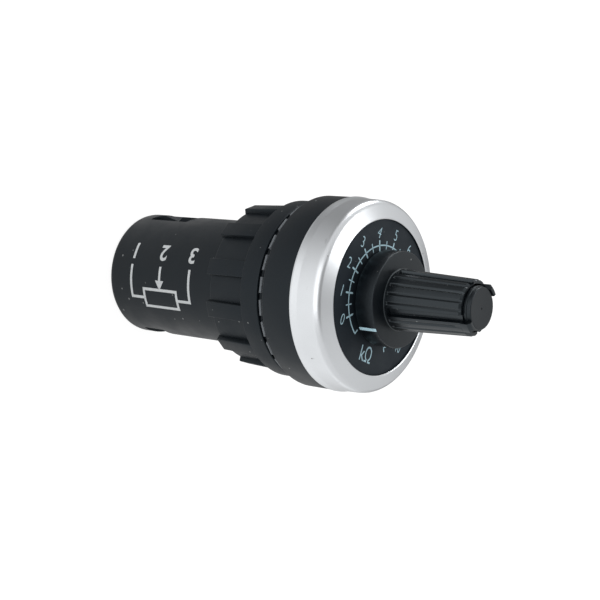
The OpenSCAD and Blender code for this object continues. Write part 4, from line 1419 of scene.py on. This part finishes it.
class POT_OT_marks(bpy.types.Operator):
    """Print a plain circuit sign and the terminal numbers on the barrel"""

    bl_idname = "pot.marks"
    bl_label = "Barrel marks"

    def execute(self, context):
        size = context.scene.pot_print
        pieces = []
        for number in (1, 2, 3):
            piece = lettering(f"mark_{number}", str(number), size.mark_size, width_share=0.95, weight=0.02)
            pieces.append(moved(piece, ((2 - number) * size.mark_spacing, -size.mark_row, 0)))
        for low, high in self.sign_lines():
            pieces.append(self.line(low, high))
        pieces.append(self.arrow())
        flat = joined("barrel_marks", pieces)
        self.wrap(flat, size, context.scene.pot_housing.barrel_radius)
        done(flat, FINISHES["mark"], "housing", smooth=60)
        return {"FINISHED"}

    def sign_lines(self):
        """Corners of the straight strokes of the resistor sign, in millimetres."""
        stroke = 0.46
        body_w, body_h = 7.6, 2.9
        centre_y = 3.6
        reach = 6.6
        lead_low, arrow_foot = -1.6, 1.2
        lines = []
        for side in (-1, 1):
            y = centre_y + side * body_h / 2
            lines.append(((-body_w / 2, y - stroke / 2), (body_w / 2, y + stroke / 2)))
            x = side * (body_w - stroke) / 2
            lines.append(((x - stroke / 2, centre_y - body_h / 2), (x + stroke / 2, centre_y + body_h / 2)))
            ends = sorted((side * body_w / 2, side * reach))
            lines.append(((ends[0], centre_y - stroke / 2), (ends[1], centre_y + stroke / 2)))
            x = side * (reach - stroke / 2)
            lines.append(((x - stroke / 2, lead_low), (x + stroke / 2, centre_y)))
        lines.append(((-stroke / 2, lead_low), (stroke / 2, arrow_foot)))
        return lines

    def line(self, low, high):
        """One flat stroke between two corners."""
        deselect()
        bpy.ops.mesh.primitive_plane_add(size=1, location=(0, 0, 0))
        piece = named("stroke")
        piece.scale = ((high[0] - low[0]) * MM, (high[1] - low[1]) * MM, 1)
        piece.location = ((low[0] + high[0]) / 2 * MM, (low[1] + high[1]) / 2 * MM, 0)
        bpy.ops.object.transform_apply(location=True, rotation=True, scale=True)
        return piece

    def arrow(self):
        """The wiper's arrow head."""
        deselect()
        middle = (0, 1.15 * MM, 0)
        bpy.ops.mesh.primitive_circle_add(vertices=3, radius=1.05 * MM, fill_type="NGON", location=middle)
        piece = named("arrow")
        bpy.ops.object.transform_apply(location=True, rotation=True, scale=True)
        return piece

    def wrap(self, flat, size, radius):
        """Cut the flat marks into narrow strips and lay them round the barrel."""
        strip_width = 0.6 * MM
        pick(flat)
        bpy.ops.object.mode_set(mode="EDIT")
        for strip in range(-9, 10):
            bpy.ops.mesh.select_all(action="SELECT")
            bpy.ops.mesh.bisect(plane_co=(0, strip * strip_width, 0), plane_no=(0, 1, 0))
        bpy.ops.mesh.select_all(action="SELECT")
        bpy.ops.mesh.extrude_region_move(TRANSFORM_OT_translate={"value": (0, 0, size.ink * 2)})
        bpy.ops.mesh.select_all(action="SELECT")
        bpy.ops.mesh.normals_make_consistent(inside=False)
        mesh = bmesh.from_edit_mesh(flat.data)
        for vertex in mesh.verts:
            reach = radius - size.ink + vertex.co.z
            turn = size.mark_angle + vertex.co.y / radius
            along = size.mark_height - vertex.co.x
            vertex.co = (reach * math.cos(turn), reach * math.sin(turn), along)
        bmesh.update_edit_mesh(flat.data)
        bpy.ops.mesh.select_all(action="SELECT")
        bpy.ops.mesh.normals_make_consistent(inside=False)
        bpy.ops.object.mode_set(mode="OBJECT")


def camera_axes(studio):
    """Right, up and back directions of the camera, from its azimuth, elevation and roll."""
    azimuth, elevation, roll = studio.azimuth, studio.elevation, studio.roll
    back = Vector((
        math.sin(azimuth) * math.cos(elevation),
        -math.cos(azimuth) * math.cos(elevation),
        math.sin(elevation),
    ))
    level = Vector((math.cos(azimuth), math.sin(azimuth), 0))
    upright = back.cross(level)
    right = level * math.cos(roll) + upright * math.sin(roll)
    up = upright * math.cos(roll) - level * math.sin(roll)
    return right, up, back


class POT_OT_stage(bpy.types.Operator):
    """Lay the floor, hang the soft lights and stand the camera where the picture was taken"""

    bl_idname = "pot.stage"
    bl_label = "Studio"

    def execute(self, context):
        studio = context.scene.pot_studio
        axes = camera_axes(studio)
        self.camera(context, studio, axes)
        self.floor(studio)
        self.room(context, studio, self.aim(axes, (-0.7, -0.45, 0.55)))
        self.lamp("key_panel", studio.key, self.aim(axes, (0.94, 0.26, 0.24)), side=0.12, distance=0.3)
        self.lamp("front_panel", studio.front, self.aim(axes, (-0.35, 0.05, 1.0)), side=0.35, distance=0.36)
        self.lamp("rim_panel", studio.rim, self.aim(axes, (0.3, 0.9, -0.3)), side=0.15, distance=0.3)
        context.scene.view_settings.view_transform = "Standard"
        return {"FINISHED"}

    def aim(self, axes, way):
        """A direction given by its parts along the camera's right, up and back."""
        return sum((axis * part for axis, part in zip(axes, way)), Vector()).normalized()

    def camera(self, context, studio, axes):
        """Stand the camera."""
        deselect()
        bpy.ops.object.camera_add(location=studio.stand)
        camera = bpy.context.object
        camera.name = "studio_camera"
        camera.rotation_euler = Matrix(axes).transposed().to_euler()
        camera.data.lens = studio.lens
        camera.data.clip_start = MM
        context.scene.camera = camera

    def floor(self, studio):
        """Lay a wide pale floor under the barrel's rear end."""
        deselect()
        bpy.ops.mesh.primitive_plane_add(size=3, location=(0, 0, low_z("housing")))
        floor = named("studio_floor")
        floor.data.materials.append(floor_paint("white_floor", studio.floor_white, studio.floor_glow))
        floor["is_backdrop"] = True

    def room(self, context, studio, side):
        """Light the room: white to the camera, brighter for the object on one side than on the other."""
        world = bpy.data.worlds.new("studio_room")
        context.scene.world = world
        world.use_nodes = True
        nodes, links = world.node_tree.nodes, world.node_tree.links
        background = nodes["Background"]
        place = nodes.new("ShaderNodeTexCoord")
        over_dial = Vector((-0.25, -0.06, 0.966))
        across = (-0.7, 0.2, studio.far_side, studio.near_side)
        darkened = (0.84, 0.96, 1.0, studio.dark_spot)
        strengths = []
        for axis, span in ((side, across), (over_dial, darkened)):
            along = nodes.new("ShaderNodeVectorMath")
            along.operation = "DOT_PRODUCT"
            along.inputs[1].default_value = axis
            links.new(place.outputs["Generated"], along.inputs[0])
            spread = nodes.new("ShaderNodeMapRange")
            links.new(along.outputs["Value"], spread.inputs["Value"])
            for name, value in zip(("From Min", "From Max", "To Min", "To Max"), span):
                spread.inputs[name].default_value = value
            strengths.append(spread.outputs["Result"])
        both = nodes.new("ShaderNodeMath")
        both.operation = "MULTIPLY"
        links.new(strengths[0], both.inputs[0])
        links.new(strengths[1], both.inputs[1])
        path = nodes.new("ShaderNodeLightPath")
        mix = nodes.new("ShaderNodeMix")
        mix.data_type = "FLOAT"
        links.new(path.outputs["Is Camera Ray"], mix.inputs["Factor"])
        links.new(both.outputs["Value"], socket(mix.inputs, "A_Float"))
        socket(mix.inputs, "B_Float").default_value = 1.0
        links.new(socket(mix.outputs, "Result_Float"), background.inputs["Strength"])
        background.inputs["Color"].default_value = (1, 1, 1, 1)

    def lamp(self, name, watts, direction, side, distance):
        """Hang a soft square lamp in a direction, with its face to the object."""
        deselect()
        bpy.ops.object.light_add(type="AREA", location=direction * distance)
        lamp = bpy.context.object
        lamp.name = name
        lamp.rotation_euler = direction.to_track_quat("Z", "Y").to_euler()
        lamp.data.shape = "SQUARE"
        lamp.data.size = side
        lamp.data.energy = watts


class POT_PT_panel(bpy.types.Panel):
    """Lists the steps that make the potentiometer"""

    bl_label = "Potentiometer"
    bl_idname = "POT_PT_panel"
    bl_space_type = "VIEW_3D"
    bl_region_type = "UI"
    bl_category = "Potentiometer"

    def draw(self, context):
        for operator in STEPS:
            self.layout.operator(operator.bl_idname)
        for name in SETTINGS:
            group = getattr(context.scene, name)
            box = self.layout.box()
            for item in group.__annotations__:
                box.prop(group, item)


STEPS = (
    POT_OT_finishes,
    POT_OT_housing,
    POT_OT_bezel,
    POT_OT_scale,
    POT_OT_marks,
    POT_OT_nut,
    POT_OT_lock,
    POT_OT_knob,
    POT_OT_cap,
    POT_OT_screws,
    POT_OT_stage,
)


def register():
    """Register the settings, the operators and the panel."""
    for name, group in SETTINGS.items():
        bpy.utils.register_class(group)
        setattr(bpy.types.Scene, name, bpy.props.PointerProperty(type=group))
    for operator in STEPS:
        bpy.utils.register_class(operator)
    bpy.utils.register_class(POT_PT_panel)


def unregister():
    """Take the panel, the operators and the settings away."""
    bpy.utils.unregister_class(POT_PT_panel)
    for operator in reversed(STEPS):
        bpy.utils.unregister_class(operator)
    for name, group in SETTINGS.items():
        delattr(bpy.types.Scene, name)
        bpy.utils.unregister_class(group)


def corners():
    """The shown object's box as plain numbers."""
    return [list(corner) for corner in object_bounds()]


def main():
    """Make the potentiometer and its studio, a step at a time."""
    register()
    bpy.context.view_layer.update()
    bpy.ops.pot.finishes()
    bpy.ops.pot.housing()
    bpy.ops.pot.bezel()
    bpy.ops.pot.scale()
    bpy.ops.pot.marks()
    bpy.ops.pot.nut()
    bpy.ops.pot.lock()
    bpy.ops.pot.knob()
    bpy.ops.pot.cap()
    bpy.ops.pot.screws()
    bpy.ops.pot.stage()


if __name__ == "__main__":
    main()
